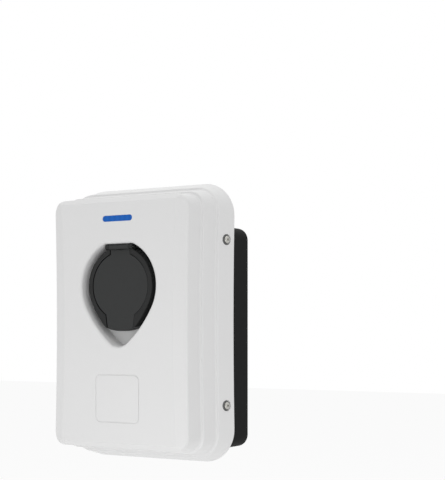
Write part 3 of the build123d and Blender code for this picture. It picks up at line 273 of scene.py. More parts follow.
@dataclass(frozen=True)
class MouldedPlastic(Finish):
    """Injection-moulded plastic: an even colour, a fine grain from the tool, and edges lightened both as
    wear and as painted highlight.
    """

    grain_mm: float = 0.6  # spark-eroded grain of about 0.05 mm, drawn coarser so that it shows
    grain_depth_mm: float = 0.02
    flow_mm: float = 45.0  # slow change of shade where the melt flowed
    flow_share: float = 0.03
    edge_mm: float = 0.35  # rounding of the tool's edges
    # edges are lightened towards this colour: wear on dark plastics, painted highlight on white ones
    edge_wear_and_highlight_colour: str = PURE_WHITE
    edge_wear_and_highlight_share: float = 0.12
    edge_wear_and_highlight_starts: float = 0.97  # likeness of the rounded and the plain surface direction
    edge_wear_and_highlight_full: float = 0.80
    patch_mm: float = 4.0  # patches of this size break up the edge wear, the painted edge highlight and the gloss
    gloss_play: float = 0.05
    grain_strength: float = 0.5

    def build(self) -> bpy.types.Material:
        """Build the material.

        Returns:
            The plastic's material.
        """
        material, tree, shader, place = self.start()
        flow = add_noise(tree, place, self.flow_mm, Texture.CLOUDS)
        body = add_node(tree, "VectorMath", {
            "operation": "SCALE", 0: linear(self.colour)[:3],
        }, {"Scale": spread(tree, flow, 1 - self.flow_share, 1 + self.flow_share)})
        soft = add_node(tree, "Bevel", {"samples": BEVEL_SAMPLES, "Radius": self.edge_mm * MM})
        sharp = add_node(tree, "NewGeometry")
        likeness = add_node(tree, "VectorMath", {"operation": "DOT_PRODUCT"}, {
            0: soft.outputs[0], 1: sharp.outputs["Normal"],
        })
        # The edge mask lightens rounded edges: wear on dark plastics, painted highlight on white ones.
        edge = spread(
            tree, likeness.outputs["Value"], 0.0, self.edge_wear_and_highlight_share, self.edge_wear_and_highlight_starts, self.edge_wear_and_highlight_full,
        )
        patches = add_noise(tree, place, self.patch_mm, Texture.PATCHES)
        edge_wear_and_highlight_mask = calculate(tree, "MULTIPLY", edge, patches)
        colour = blend(tree, edge_wear_and_highlight_mask, body.outputs[0], self.edge_wear_and_highlight_colour)
        tree.links.new(colour, shader.inputs["Base Color"])
        gloss = spread(tree, patches, self.roughness - self.gloss_play, self.roughness + self.gloss_play)
        tree.links.new(gloss, shader.inputs["Roughness"])
        grain = add_noise(tree, place, self.grain_mm, Texture.GRAIN)
        emboss(tree, shader, grain, self.grain_depth_mm, self.grain_strength, soft.outputs[0])
        return material


@dataclass(frozen=True)
class WorkedMetal(Finish):
    """Bare or plated metal with the fine marks of the tool that shaped it."""

    lay: Lay = Lay.TURNED
    mark_mm: float = 1.0  # tool marks, drawn coarser than they are so that they show
    mark_depth_mm: float = 0.008
    mark_strength: float = 0.4
    edge_mm: float = 0.15
    gloss_play: float = 0.08
    tarnish: str = "#8C8778"
    tarnish_share: float = 0.15
    tarnish_mm: float = 2.5
    tarnish_starts: float = 0.45  # the noise's value where a stain begins
    tarnish_full: float = 0.75

    def build(self) -> bpy.types.Material:
        """Build the material.

        Returns:
            The metal's material.
        """
        material, tree, shader, place = self.start()
        stretched = add_node(tree, "Mapping", {
            "vector_type": "POINT", "Scale": self.lay.value,
        }, {"Vector": place})
        marks = add_noise(tree, stretched.outputs[0], self.mark_mm, Texture.SCRATCHES)
        stain = add_noise(tree, place, self.tarnish_mm, Texture.PATCHES)
        amount = spread(tree, stain, 0.0, self.tarnish_share, self.tarnish_starts, self.tarnish_full)
        colour = blend(tree, amount, self.colour, self.tarnish)
        tree.links.new(colour, shader.inputs["Base Color"])
        gloss = spread(tree, marks, self.roughness - self.gloss_play, self.roughness + self.gloss_play)
        tree.links.new(gloss, shader.inputs["Roughness"])
        soft = add_node(tree, "Bevel", {"samples": BEVEL_SAMPLES, "Radius": self.edge_mm * MM})
        emboss(tree, shader, marks, self.mark_depth_mm, self.mark_strength, soft.outputs[0])
        return material


@dataclass(frozen=True)
class CircuitBoard(Finish):
    """Glass-epoxy board: solder resist over copper tracks, with tinned pads."""

    copper: str = "#35703F"  # copper seen through the resist
    pad: str = "#C9C6BC"
    field_mm: float = 17.0  # tracks run round fields about as large as a part and its neighbours
    tracks_per_field: float = 11.0  # tracks 0.2 mm wide, drawn about 0.5 mm wide so that they show
    track_share: float = 0.17  # half a track's width as a share of its spacing
    track_disorder: float = 0.85
    track_rise_mm: float = 0.03
    track_strength: float = 0.4
    pad_pitch_mm: float = 5.0
    pad_share: float = 0.13  # a pad's radius as a share of its spacing
    pad_disorder: float = 0.35

    def build(self) -> bpy.types.Material:
        """Build the material.

        Returns:
            The board's material.
        """
        material, tree, shader, place = self.start()
        flat = add_node(tree, "Mapping", {"vector_type": "POINT", "Rotation": (math.pi / 2, 0, 0)}, {
            "Vector": place,
        })
        cells = add_node(tree, "TexVoronoi", {
            "voronoi_dimensions": "2D", "distance": "CHEBYCHEV", "Scale": pattern_scale(self.field_mm),
            "Randomness": self.track_disorder,
        }, {"Vector": flat.outputs[0]})
        steps = calculate(tree, "MULTIPLY", cells.outputs["Distance"], self.tracks_per_field)
        wave = calculate(tree, "PINGPONG", steps, 0.5)
        on_track = calculate(tree, "LESS_THAN", wave, self.track_share)
        tracks = blend(tree, on_track, self.colour, self.copper)
        dots = add_node(tree, "TexVoronoi", {
            "voronoi_dimensions": "2D", "Scale": pattern_scale(self.pad_pitch_mm),
            "Randomness": self.pad_disorder,
        }, {"Vector": flat.outputs[0]})
        on_pad = calculate(tree, "LESS_THAN", dots.outputs["Distance"], self.pad_share)
        tree.links.new(blend(tree, on_pad, tracks, self.pad), shader.inputs["Base Color"])
        tree.links.new(on_pad, shader.inputs["Metallic"])
        emboss(tree, shader, on_track, self.track_rise_mm, self.track_strength)
        return material


@dataclass(frozen=True)
class LitDiffuser(Finish):
    """Milky polycarbonate bar with lamps behind it."""

    dark: str = "#061225"  # the bar's own tint where no lamp shines through
    glow: float = 0.84
    lamp_pitch_mm: float = 6.25
    ripple: float = 0.06  # how much brighter the bar is over a lamp
    cloud_mm: float = 3.0  # milky clouds in the resin
    cloud_share: float = 0.05
    skin_depth_mm: float = 0.02
    skin_strength: float = 0.2

    def build(self) -> bpy.types.Material:
        """Build the material.

        Returns:
            The lit bar's material.
        """
        material, tree, shader, place = self.start()
        along = add_node(tree, "SeparateXYZ", links={"Vector": place})
        phase = calculate(tree, "MULTIPLY", along.outputs["X"], 2 * math.pi / (self.lamp_pitch_mm * MM))
        wave = calculate(tree, "COSINE", phase)
        cloud = add_noise(tree, place, self.cloud_mm, Texture.SKIN)
        dim, bright = self.glow * (1 - self.ripple), self.glow * (1 + self.ripple)
        ripple = spread(tree, wave, dim, bright, -1.0, 1.0)
        body = spread(tree, cloud, 1 - self.cloud_share, 1 + self.cloud_share)
        strength = calculate(tree, "MULTIPLY", ripple, body)
        shader.inputs["Emission Color"].default_value = linear(self.colour)
        tree.links.new(strength, shader.inputs["Emission Strength"])
        shader.inputs["Base Color"].default_value = linear(self.dark)
        emboss(tree, shader, cloud, self.skin_depth_mm, self.skin_strength)
        return material


@dataclass(frozen=True)
class LeadInsulation(Finish):
    """Extruded insulation whose colour tells the leads apart by their place from left to right."""

    colours: tuple[str, ...] = ("#2A63A8", "#8A8A88", "#7C9A28", "#1B1B1B", "#5B3A22")
    limits_mm: tuple[float, ...] = (-12.7, -4.2, 4.2, 12.7)  # half way between neighbouring leads
    reach_mm: float = 30.0  # how far from the middle the outer leads go
    skin_mm: float = 0.8
    skin_depth_mm: float = 0.03
    skin_strength: float = 0.3

    def build(self) -> bpy.types.Material:
        """Build the material.

        Returns:
            The leads' material.
        """
        material, tree, shader, place = self.start()
        along = add_node(tree, "SeparateXYZ", links={"Vector": place})
        share = spread(tree, along.outputs["X"], 0.0, 1.0, -self.reach_mm * MM, self.reach_mm * MM)
        ramp = add_node(tree, "ValToRGB", links={"Fac": share})
        stops = ramp.color_ramp
        stops.interpolation = "CONSTANT"
        stops.elements[0].color = linear(self.colours[0])
        stops.elements[1].position = (self.limits_mm[0] + self.reach_mm) / (2 * self.reach_mm)
        stops.elements[1].color = linear(self.colours[1])
        for limit, colour in zip(self.limits_mm[1:], self.colours[2:]):
            stop = stops.elements.new((limit + self.reach_mm) / (2 * self.reach_mm))
            stop.color = linear(colour)
        tree.links.new(ramp.outputs[0], shader.inputs["Base Color"])
        skin = add_noise(tree, place, self.skin_mm, Texture.SKIN)
        emboss(tree, shader, skin, self.skin_depth_mm, self.skin_strength)
        return material


# Weather-proof ASA from a lightly spark-eroded tool: an even warm white with a soft sheen, its edges
# whitened as painted highlight.
WHITE_ASA = MouldedPlastic(
    "asa_moulded_white", "#E0E0E0", roughness=0.42, ior=1.52, grain_mm=0.9, grain_depth_mm=0.02,
    flow_share=0.012, edge_mm=0.4, edge_wear_and_highlight_share=0.25,
)
# Carbon-black ASA from a coarser tool: dull, slightly grey, with pale scuffs on its corners.
BLACK_ASA = MouldedPlastic(
    "asa_moulded_black", "#101111", roughness=0.62, ior=1.52, sheen_level=0.08, grain_mm=1.1,
    grain_depth_mm=0.06, flow_share=0.08, edge_mm=0.6, edge_wear_and_highlight_colour="#4A4B4B", edge_wear_and_highlight_share=0.3,
)
# Polycarbonate blend of the bezel: satin black, smoother than the housing.
BLACK_PC = MouldedPlastic(
    "polycarbonate_satin_black", "#191A1A", roughness=0.42, ior=1.58, sheen_level=0.2, grain_mm=0.7,
    grain_depth_mm=0.02, flow_share=0.05, edge_mm=0.3, edge_wear_and_highlight_colour="#5A5B5B", edge_wear_and_highlight_share=0.25,
)
# Glass-filled polyamide of the lid: dark grey and evenly matt.
GREY_PA = MouldedPlastic(
    "polyamide_matt_charcoal", "#2B2C2C", roughness=0.55, ior=1.53, sheen_level=0.25, grain_mm=0.7,
    grain_depth_mm=0.03, flow_share=0.05, edge_mm=0.3, edge_wear_and_highlight_colour="#6A6B6B", edge_wear_and_highlight_share=0.25,
)
# Glass-filled polyester of the contact insert: stiff, matt and mottled by its fibres.
GLASS_PBT = MouldedPlastic(
    "polyester_glass_filled", "#26272A", roughness=0.62, ior=1.57, grain_mm=0.5, grain_depth_mm=0.04,
    flow_mm=6.0, flow_share=0.14, edge_mm=0.2, edge_wear_and_highlight_colour="#60625F", edge_wear_and_highlight_share=0.2,
)
# Cured EPDM: deep black, soft and almost without gloss.
EPDM = MouldedPlastic(
    "epdm_rubber_black", "#141414", roughness=0.82, ior=1.48, grain_mm=0.8, grain_depth_mm=0.05,
    flow_mm=12.0, flow_share=0.15, edge_mm=0.25, edge_wear_and_highlight_colour="#3A3A38", edge_wear_and_highlight_share=0.3,
)
# Grey EPDM of the sealing washers: their mid grey is painted shade, standing in for the shaded seat round
# each screw head.
GREY_EPDM_PAINTED_SHADE = MouldedPlastic(
    "epdm_grey_painted_shade", "#6F7071", roughness=0.75, ior=1.48, sheen_level=0.2, grain_mm=0.6,
    grain_depth_mm=0.03, flow_mm=6.0, flow_share=0.1, edge_mm=0.15, edge_wear_and_highlight_colour="#8A8B8B",
    edge_wear_and_highlight_share=0.2,
)
# Flame-retardant polyester cases of relays and modules.
BLACK_PBT = MouldedPlastic(
    "polyester_moulded_case", "#1D1E20", roughness=0.45, ior=1.57, grain_mm=0.6, flow_share=0.08,
    edge_mm=0.25, edge_wear_and_highlight_colour="#5C5C5C", edge_wear_and_highlight_share=0.2,
)
# Grey polyamide of the clamp block.
GREY_TERMINAL = MouldedPlastic(
    "polyamide_moulded_grey", "#7D8284", roughness=0.5, ior=1.53, grain_mm=0.6, flow_share=0.05,
    edge_mm=0.25, edge_wear_and_highlight_share=0.12,
)
# Undyed nylon, slightly yellow and waxy.
NATURAL_NYLON = MouldedPlastic(
    "nylon_natural", "#D9D2BE", roughness=0.45, ior=1.53, grain_mm=0.5, flow_share=0.04, edge_mm=0.2,
    edge_wear_and_highlight_share=0.1,
)
# Epoxy dip coat of the surge discs, glossy and slightly uneven.
DIP_EPOXY = MouldedPlastic(
    "epoxy_dipped_blue", "#1F4E9A", roughness=0.25, ior=1.55, grain_mm=1.6, grain_depth_mm=0.08,
    flow_mm=5.0, flow_share=0.1, edge_mm=0.3, edge_wear_and_highlight_share=0.05,
)
# Turned stainless steel: bright with a slightly warm grey.
STAINLESS = WorkedMetal("stainless_turned", "#B9B8B3", roughness=0.28, metallic=1.0, lay=Lay.TURNED)
# Zinc-plated steel screws with a bluish passivation.
ZINC_STEEL = WorkedMetal(
    "steel_zinc_plated", "#AEB3B8", roughness=0.36, metallic=1.0, lay=Lay.STAMPED, tarnish="#8E96A3",
    tarnish_share=0.3,
)
# Drawn spring wire.
SPRING_STEEL = WorkedMetal("spring_steel_drawn", "#8F8E8A", roughness=0.34, metallic=1.0, lay=Lay.DRAWN)
# Silver-plated brass contacts, a little yellowed.
SILVER_BRASS = WorkedMetal(
    "brass_silver_plated", "#D4CFC2", roughness=0.24, metallic=1.0, lay=Lay.TURNED, tarnish="#A08C58",
    tarnish_share=0.25,
)
# Turned brass of inserts and pillars.
BRASS = WorkedMetal(
    "brass_turned", "#C9A458", roughness=0.27, metallic=1.0, lay=Lay.TURNED, tarnish="#8A6A33",
    tarnish_share=0.3,
)
# Drawn aluminium cans.
ALUMINIUM = WorkedMetal(
    "aluminium_drawn_can", "#BFC1C4", roughness=0.32, metallic=1.0, lay=Lay.DRAWN, tarnish="#8B8F92",
)
# Epoxy moulding compound of chips: charcoal, dull, slightly speckled by its silica.
CHIP_EPOXY = MouldedPlastic(
    "epoxy_moulded_chip", "#232426", roughness=0.6, ior=1.55, sheen_level=0.35, grain_mm=0.4, flow_mm=3.0,
    flow_share=0.12, edge_mm=0.1, edge_wear_and_highlight_colour="#5E5F60", edge_wear_and_highlight_share=0.15,
)
# Barium titanate of ceramic capacitors: fired, tan and smooth.
TAN_CERAMIC = MouldedPlastic(
    "ceramic_fired_tan", "#A98C66", roughness=0.38, ior=1.9, sheen_level=0.4, grain_mm=0.3, flow_mm=2.0,
    flow_share=0.1, edge_mm=0.08, edge_wear_and_highlight_share=0.05,
)
# Polyester-film capacitors in a potted box, pale and slightly waxy.
FILM_BOX = MouldedPlastic(
    "polyester_potted_box", "#C9B65A", roughness=0.42, ior=1.57, sheen_level=0.4, grain_mm=0.5, flow_mm=9.0,
    flow_share=0.05, edge_mm=0.3, edge_wear_and_highlight_share=0.1,
)
# Tinned leads and pads: soft, bright, faintly grey where the solder has wetted them.
TINNED_COPPER = WorkedMetal(
    "copper_tinned", "#C4C5C6", roughness=0.3, metallic=1.0, lay=Lay.STAMPED, mark_mm=0.4, tarnish="#96979A",
)
# Glass-epoxy board under green solder resist: glossy, with its tracks faintly raised.
GREEN_BOARD = CircuitBoard("glass_epoxy_board", "#1C4A2C", roughness=0.32, ior=1.55)
# Milky blue polycarbonate of the status bar: it glows evenly and hardly mirrors.
BLUE_DIFFUSER = LitDiffuser(
    "polycarbonate_diffuser_blue", "#155FB8", roughness=0.45, ior=1.58, sheen_level=0.1,
)
# Plasticised PVC of the leads: satin, in the colours of the three lines, neutral and earth.
PVC_LEADS = LeadInsulation("pvc_lead_insulation", "#5B3A22", roughness=0.45, ior=1.53)


@dataclass
class Wardrobe:
    """Builds each finish once and puts it on nodes."""

    made: dict[str, bpy.types.Material] = field(default_factory=dict)

    def material(self, finish: Finish) -> bpy.types.Material:
        """Give a finish's material, built at its first use.

        Args:
            finish: the finish wanted.

        Returns:
            Its material.
        """
        if finish.name not in self.made:
            self.made[finish.name] = finish.build()
        return self.made[finish.name]

    def dress(self, finish: Finish, *names: str) -> None:
        """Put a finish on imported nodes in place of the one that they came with.

        Args:
            finish: the finish to wear.
            names: the nodes.
        """
        for name in names:
            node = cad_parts[name]
            node.data.materials.clear()
            node.data.materials.append(self.material(finish))
            LOG.info("%s wears %s", name, finish.name)


@dataclass
class Cover:
    """White front cover with its seal, screws and their inserts."""

    shell: Finish = WHITE_ASA
    screws: Finish = STAINLESS
    # the washers' grey is painted shade of the seats round the screw heads
    washers: Finish = GREY_EPDM_PAINTED_SHADE
    inserts: Finish = BRASS
    seal: Finish = EPDM

    def assemble(self, wardrobe: Wardrobe) -> None:
        """Dress the cover's nodes.

        Args:
            wardrobe: gives the materials.
        """
        wardrobe.dress(self.shell, "front_cover")
        wardrobe.dress(self.screws, "cover_screws")
        wardrobe.dress(self.washers, "cover_screw_washers")
        wardrobe.dress(self.inserts, "cover_screw_inserts")
        wardrobe.dress(self.seal, "cover_seal")


@dataclass
class RearHousing:
    """Black base with its cable grommet and plugs."""

    shell: Finish = BLACK_ASA
    plugs: Finish = BLACK_PC
    rubber: Finish = EPDM

    def assemble(self, wardrobe: Wardrobe) -> None:
        """Dress the base's nodes.

        Args:
            wardrobe: gives the materials.
        """
        wardrobe.dress(self.shell, "base_housing")
        wardrobe.dress(self.plugs, "blanking_plug", "vent_plug")
        wardrobe.dress(self.rubber, "supply_grommet")


@dataclass
class SocketOutlet:
    """Bezel, sleeve, contacts and everything that holds them."""

    housing: Finish = BLACK_PC
    insulator: Finish = GLASS_PBT
    plating: Finish = SILVER_BRASS
    contacts: tuple[str, ...] = (
        "neutral", "signal_left", "signal_right", "line_1", "line_2", "line_3", "earth",
    )

    def assemble(self, wardrobe: Wardrobe) -> None:
        """Dress the socket's nodes.

        Args:
            wardrobe: gives the materials.
        """
        wardrobe.dress(self.housing, "socket_housing", "retaining_ring")
        wardrobe.dress(self.insulator, "contact_insert", "contact_carrier_plate")
        wardrobe.dress(self.plating, *(f"contact_{name}" for name in self.contacts))
        wardrobe.dress(EPDM, "socket_gasket")
        wardrobe.dress(ZINC_STEEL, "socket_screws", "insert_screws")
        wardrobe.dress(PVC_LEADS, "socket_leads")


@dataclass
class HingedLid:
    """Lid with its seal, pin and spring."""

    lid: Finish = GREY_PA

    def assemble(self, wardrobe: Wardrobe) -> None:
        """Dress the lid's nodes.

        Args:
            wardrobe: gives the materials.
        """
        wardrobe.dress(self.lid, "lid")
        wardrobe.dress(EPDM, "lid_seal")
        wardrobe.dress(STAINLESS, "hinge_pin")
        wardrobe.dress(SPRING_STEEL, "lid_spring")


@dataclass
class PlugLock:
    """Lock that holds the plug in its socket."""

    case: Finish = BLACK_PBT

    def assemble(self, wardrobe: Wardrobe) -> None:
        """Dress the lock's nodes.

        Args:
            wardrobe: gives the materials.
        """
        wardrobe.dress(self.case, "lock_body")
        wardrobe.dress(STAINLESS, "lock_pin")
        wardrobe.dress(ZINC_STEEL, "lock_screws")


@dataclass
class Electronics:
    """Boards and the devices on them."""

    relay_count: int = 4
    capacitor_count: int = 3

    def assemble(self, wardrobe: Wardrobe) -> None:
        """Dress the electronics' nodes.

        Args:
            wardrobe: gives the materials.
        """
        wardrobe.dress(GREEN_BOARD, "power_board", "control_board", "reader_board", "light_board")
        wardrobe.dress(BLACK_PBT, *(f"power_relay_{i + 1}" for i in range(self.relay_count)))
        wardrobe.dress(ALUMINIUM, *(f"capacitor_{i + 1}" for i in range(self.capacitor_count)))
        wardrobe.dress(BLACK_PBT, "power_supply_module", "current_sensor", "current_selector")
        wardrobe.dress(GREY_TERMINAL, "supply_terminal")
        wardrobe.dress(ZINC_STEEL, "terminal_screws", "board_screws", "pillar_screws")
        wardrobe.dress(BRASS, "board_pillars")
        wardrobe.dress(ALUMINIUM, "radio_module")
        wardrobe.dress(NATURAL_NYLON, "control_header", "selector_rotor")
        wardrobe.dress(DIP_EPOXY, "surge_discs")
        wardrobe.dress(BLUE_DIFFUSER, "light_pipe")


@dataclass(frozen=True)
class SmallPart:
    """A kind of part soldered to a board: its body, its pins and where each one sits.

    Sizes and places are in millimetres. A place is along X and Z from the board's centre.
    """

    name: str
    board: str
    slot: str
    body: Finish
    width: float
    height: float
    rise: float
    edge_step: float  # side of the square step along the body's edges
    places: tuple[tuple[float, float], ...]
    top_share: float = 1.0  # width of the body's top as a share of its foot's
    stand_off: float = 0.1
    pins_below: int = 0  # pins along the lower edge, and as many along the upper one
    pins_beside: int = 0
    pin_pitch: float = 0.65
    pin_width: float = 0.3
    pin_reach: float = 1.1
    pin_bends: tuple[float, float] = (0.3, 0.5)  # where a pin bends, as shares of its reach
    end_cap: float = 0.0  # width of the tinned caps at both ends of a chip component

    @staticmethod
    def wrap(
        form: bmesh.types.BMesh, near: list[bmesh.types.BMVert], far: list[bmesh.types.BMVert],
    ) -> None:
        """Join two rings of corners with the faces between them.

        Args:
            form: the mesh that holds both.
            near: corners of the first ring.
            far: corners of the second, in the same order.
        """
        for i in range(len(near)):
            j = (i + 1) % len(near)
            form.faces.new((near[i], near[j], far[j], far[i]))

    def block(
        self, form: bmesh.types.BMesh, centre: Vector, size: Vector, step: float, top_share: float,
    ) -> None:
        """Add a block with stepped edges that stands on the board and faces the viewer.

        Args:
            form: the mesh that it goes into.
            centre: middle of its foot.
            size: its width, its rise from the board and its height.
            step: side of the square step along its edges.
            top_share: width of its top as a share of its foot's.
        """
        rings = []
        for rise, share in ((0.0, 1.0), (size.y, top_share)):
            rings.append([
                form.verts.new(centre + Vector((sx * share * size.x / 2, -rise, sz * share * size.z / 2)))
                for sx, sz in CORNERS
            ])
        foot, top = rings
        form.faces.new(foot)
        form.faces.new(reversed(top))
        self.wrap(form, top, foot)
        # A dict keeps each edge once, in the order of the corners.
        edges = dict.fromkeys(edge for corner in foot + top for edge in corner.link_edges)
        bmesh.ops.bevel(
            form, geom=list(edges), offset=step, segments=STEP_SEGMENTS, profile=STEP_PROFILE,
            affect="EDGES", clamp_overlap=True,
        )

    def pin(self, form: bmesh.types.BMesh, root: Vector, out: Vector) -> None:
        """Add a gull-wing pin that leaves the body, bends to the board and lies on its pad.

        Args:
            form: the mesh that it goes into.
            root: where it leaves the body.
            out: unit direction away from the body along the board.
        """
        thick = self.pin_width / 2 * MM
        across = out.cross(Vector((0, 1, 0))) * self.pin_width / 2 * MM
        drop = self.rise / 2 * MM
        reach = self.pin_reach * MM
        shoulder, knee = self.pin_bends
        down = Vector((0, drop - thick, 0))
        line = (Vector((0, 0, 0)), out * reach * shoulder, out * reach * knee + down, out * reach + down)
        sections = []
        for step in line:
            spot = root + step
            sections.append([
                form.verts.new(spot + side * across + Vector((0, lift * thick / 2, 0)))
                for side, lift in CORNERS
            ])
        for near, far in zip(sections, sections[1:]):
            self.wrap(form, near, far)
        form.faces.new(reversed(sections[0]))
        form.faces.new(sections[-1])

    def pins(self, form: bmesh.types.BMesh, foot: Vector) -> None:
        """Add all pins of one part.

        Args:
            form: the mesh that they go into.
            foot: middle of the part's foot.
        """
        root = foot - Vector((0, self.rise / 2 * MM, 0))
        for side in (-1, 1):
            for i in range(self.pins_below):
                along = (i - (self.pins_below - 1) / 2) * self.pin_pitch * MM
                start = root + Vector((along, 0, side * self.height / 2 * MM))
                self.pin(form, start, Vector((0, 0, side)))
            for i in range(self.pins_beside):
                along = (i - (self.pins_beside - 1) / 2) * self.pin_pitch * MM
                start = root + Vector((side * self.width / 2 * MM, 0, along))
                self.pin(form, start, Vector((side, 0, 0)))

    def caps(self, form: bmesh.types.BMesh, foot: Vector) -> None:
        """Add the tinned caps at both ends of one chip component.

        Args:
            form: the mesh that they go into.
            foot: middle of the part's foot.
        """
        grown = Vector((self.end_cap, self.rise + self.stand_off, self.height + self.stand_off)) * MM
        for side in (-1, 1):
            cap = foot + Vector((side * (self.width - self.end_cap) / 2 * MM, 0, 0))
            self.block(form, cap, grown, self.edge_step * MM, 1.0)

    def build(self, wardrobe: Wardrobe) -> None:
        """Build every part of this kind as one piece that goes with the housing.

        Args:
            wardrobe: gives the materials.
        """
        low, high = (Vector(corner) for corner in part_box(self.board))
        middle = (low + high) / 2
        form = bmesh.new()
        for x, z in self.places:
            foot = Vector((middle.x + x * MM, low.y, middle.z + z * MM))
            lifted = foot - Vector((0, self.stand_off * MM, 0))
            size = Vector((self.width, self.rise - self.stand_off, self.height)) * MM
            self.block(form, lifted, size, self.edge_step * MM, self.top_share)
            before = set(form.faces)
            self.pins(form, foot)
            if self.end_cap:
                self.caps(form, foot)
            for face in form.faces:
                if face not in before:
                    face.material_index = TINNED
        bmesh.ops.recalc_face_normals(form, faces=form.faces)
        mesh = bpy.data.meshes.new(self.name)
        form.to_mesh(mesh)
        form.free()
        mesh.materials.append(wardrobe.material(self.body))
        mesh.materials.append(wardrobe.material(TINNED_COPPER))
        piece = bpy.data.objects.new(self.name, mesh)
        bpy.context.scene.collection.objects.link(piece)
        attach(piece, "housing")
        LOG.info("%s: %d of them on %s", self.name, len(self.places), self.board)


@dataclass
class BoardParts:
    """The small parts soldered to the control board and the power board."""

    kinds: tuple[SmallPart, ...] = (
        SmallPart(
            "microcontroller", "control_board", "module_case", CHIP_EPOXY,
            width=10.0, height=10.0, rise=1.5, edge_step=0.25, top_share=0.97,
            pins_below=12, pins_beside=12, places=((2.0, 16.0),),
        ),
        SmallPart(
            "line_drivers", "control_board", "module_case", CHIP_EPOXY,
            width=9.9, height=3.9, rise=1.6, edge_step=0.2, top_share=0.96,
            pins_below=8, pin_pitch=1.27, pin_width=0.42,
            places=((-14.0, -19.0), (4.0, -19.0), (22.0, -19.0)),
        ),
        SmallPart(
            "step_down_coils", "control_board", "module_case", CHIP_EPOXY,
            width=6.6, height=6.6, rise=3.4, edge_step=0.9, top_share=0.95,
            places=((24.0, 17.0), (35.0, 17.0)),
        ),
        SmallPart(
            "decoupling_capacitors", "control_board", "header_white", TAN_CERAMIC,
            width=2.0, height=1.25, rise=0.9, edge_step=0.12, end_cap=0.45,
            places=tuple((-16.0 + 4.2 * i, -9.5) for i in range(9)),
        ),
        SmallPart(
            "series_resistors", "power_board", "module_case", CHIP_EPOXY,
            width=3.2, height=1.6, rise=0.6, edge_step=0.1, end_cap=0.5,
            places=tuple((-21.0 + 6.0 * i, 66.0) for i in range(8)),
        ),
        SmallPart(
            "optocouplers", "power_board", "module_case", CHIP_EPOXY,
            width=4.6, height=6.5, rise=3.5, edge_step=0.3, top_share=0.94,
            pins_below=2, pin_pitch=2.54, pin_width=0.5,
            places=tuple((-24.0 + 10.0 * i, 2.0) for i in range(6)),
        ),
        SmallPart(
            "suppression_capacitors", "power_board", "terminal_plastic", FILM_BOX,
            width=17.5, height=7.5, rise=9.5, edge_step=0.6,
            places=((-17.0, 34.0), (17.0, 34.0), (-17.0, 48.0), (17.0, 48.0)),
        ),
    )

    def assemble(self, wardrobe: Wardrobe) -> None:
        """Build every kind of small part.

        Args:
            wardrobe: gives the materials.
        """
        for kind in self.kinds:
            kind.build(wardrobe)


@dataclass(frozen=True)
class Lamp:
    """A square softbox: its place, what it faces, its side in metres and its power."""

    name: str
    place: tuple[float, float, float]
    aim: tuple[float, float, float]
    side: float
    watts: float

    def hang(self) -> None:
        """Hang the lamp facing its aim."""
        data = bpy.data.lights.new(self.name, "AREA")
        data.size = self.side
        data.energy = self.watts
        lamp = bpy.data.objects.new(self.name, data)
        lamp.location = self.place
        lamp.rotation_euler = (Vector(self.aim) - Vector(self.place)).to_track_quat("-Z", "Y").to_euler()
        bpy.context.scene.collection.objects.link(lamp)


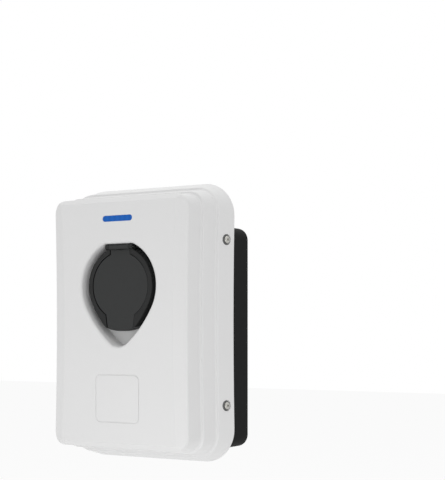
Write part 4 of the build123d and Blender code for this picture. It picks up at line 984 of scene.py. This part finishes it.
@dataclass
class Studio:
    """Pale floor, soft lamps and the camera at the photograph's angle."""

    camera_place: tuple[float, float, float] = (0.7238, -1.0912, 0.0092)
    camera_turn: float = 0.546  # radians to its left from looking straight at the wall
    lens_mm: float = 89.0
    rise_share: float = 0.1846  # how far the picture sits off the lens's axis, as in the photograph
    tent_strength: float = 0.65  # light from all sides, as a share of a white sky's
    floor_colour: str = "#FAFAFA"
    floor_white_share: float = 0.88  # how much of the floor's look is plain white paper
    floor_drop: float = 0.40  # the unit hangs on a wall, so the floor is well below it
    floor_size: float = 6.0
    lamps: tuple[Lamp, ...] = (
        Lamp("overhead_softbox", place=(0.0, -0.1, 1.6), aim=(0.0, -0.1, 0.0), side=2.4, watts=12.0),
        Lamp("left_softbox", place=(-1.3, -1.6, 0.5), aim=(0.0, -0.05, 0.0), side=1.4, watts=2.0),
        Lamp("right_softbox", place=(2.0, -0.7, 0.3), aim=(0.0, -0.05, 0.0), side=1.2, watts=3.0),
        Lamp("bounce_card", place=(0.1, -0.42, -0.39), aim=(0.0, -0.05, -0.08), side=0.5, watts=1.0),
    )

    def camera(self) -> None:
        """Place the camera where the photograph's was."""
        data = bpy.data.cameras.new("camera")
        data.lens = self.lens_mm
        data.shift_y = self.rise_share
        camera = bpy.data.objects.new("camera", data)
        camera.location = self.camera_place
        camera.rotation_euler = (math.pi / 2, 0, self.camera_turn)
        bpy.context.scene.collection.objects.link(camera)
        bpy.context.scene.camera = camera

    def white_rays(self, tree: bpy.types.NodeTree) -> bpy.types.NodeSocket:
        """Mask of the rays that should meet a white background.

        Args:
            tree: the node tree that the mask is for.

        Returns:
            One for camera, glossy and transmission rays, and nought for others.
        """
        rays = add_node(tree, "LightPath").outputs
        some = calculate(tree, "MAXIMUM", rays["Is Camera Ray"], rays["Is Transmission Ray"])
        return calculate(tree, "MAXIMUM", some, rays["Is Glossy Ray"])

    def world(self) -> None:
        """Even light from all sides, as in a light tent, with white behind the object."""
        world = bpy.data.worlds.new("studio")
        bpy.context.scene.world = world
        world.use_nodes = True
        tree = world.node_tree
        tree.nodes.clear()
        light = add_node(tree, "Background", {"Color": linear(PURE_WHITE), "Strength": self.tent_strength})
        white = add_node(tree, "Background", {"Color": linear(PURE_WHITE), "Strength": 1.0})
        both = add_node(tree, "MixShader", links={
            0: self.white_rays(tree), 1: light.outputs[0], 2: white.outputs[0],
        })
        add_node(tree, "OutputWorld", links={"Surface": both.outputs[0]})

    def floor(self) -> None:
        """Pale floor: white to the camera, with the object's soft shadow on it."""
        mesh = bpy.data.meshes.new("floor")
        form = bmesh.new()
        bmesh.ops.create_grid(form, x_segments=1, y_segments=1, size=self.floor_size)
        form.to_mesh(mesh)
        form.free()
        floor = bpy.data.objects.new("floor", mesh)
        floor.location = (0, 0, -self.floor_drop)
        bpy.context.scene.collection.objects.link(floor)
        material = bpy.data.materials.new("floor_paper")
        material.use_nodes = True
        tree = material.node_tree
        tree.nodes.clear()
        matt = add_node(tree, "BsdfDiffuse", {"Color": linear(self.floor_colour)})
        white = add_node(tree, "Emission", {"Color": linear(PURE_WHITE), "Strength": 1.0})
        share = calculate(tree, "MULTIPLY", self.white_rays(tree), self.floor_white_share)
        both = add_node(tree, "MixShader", links={0: share, 1: matt.outputs[0], 2: white.outputs[0]})
        add_node(tree, "OutputMaterial", links={"Surface": both.outputs[0]})
        mesh.materials.append(material)

    def build(self) -> None:
        """Build the whole studio."""
        bpy.context.scene.view_settings.view_transform = "Standard"
        self.camera()
        self.world()
        self.floor()
        for lamp in self.lamps:
            lamp.hang()
            LOG.info("%s hangs", lamp.name)


def main() -> None:
    """Build and dress every sub-assembly, then the studio."""
    logging.basicConfig(level=logging.INFO, format="%(message)s")
    wardrobe = Wardrobe()
    for part in (
        Cover(), RearHousing(), SocketOutlet(), HingedLid(), PlugLock(), Electronics(), BoardParts(),
    ):
        part.assemble(wardrobe)
    Studio().build()


if __name__ == "__main__":
    main()
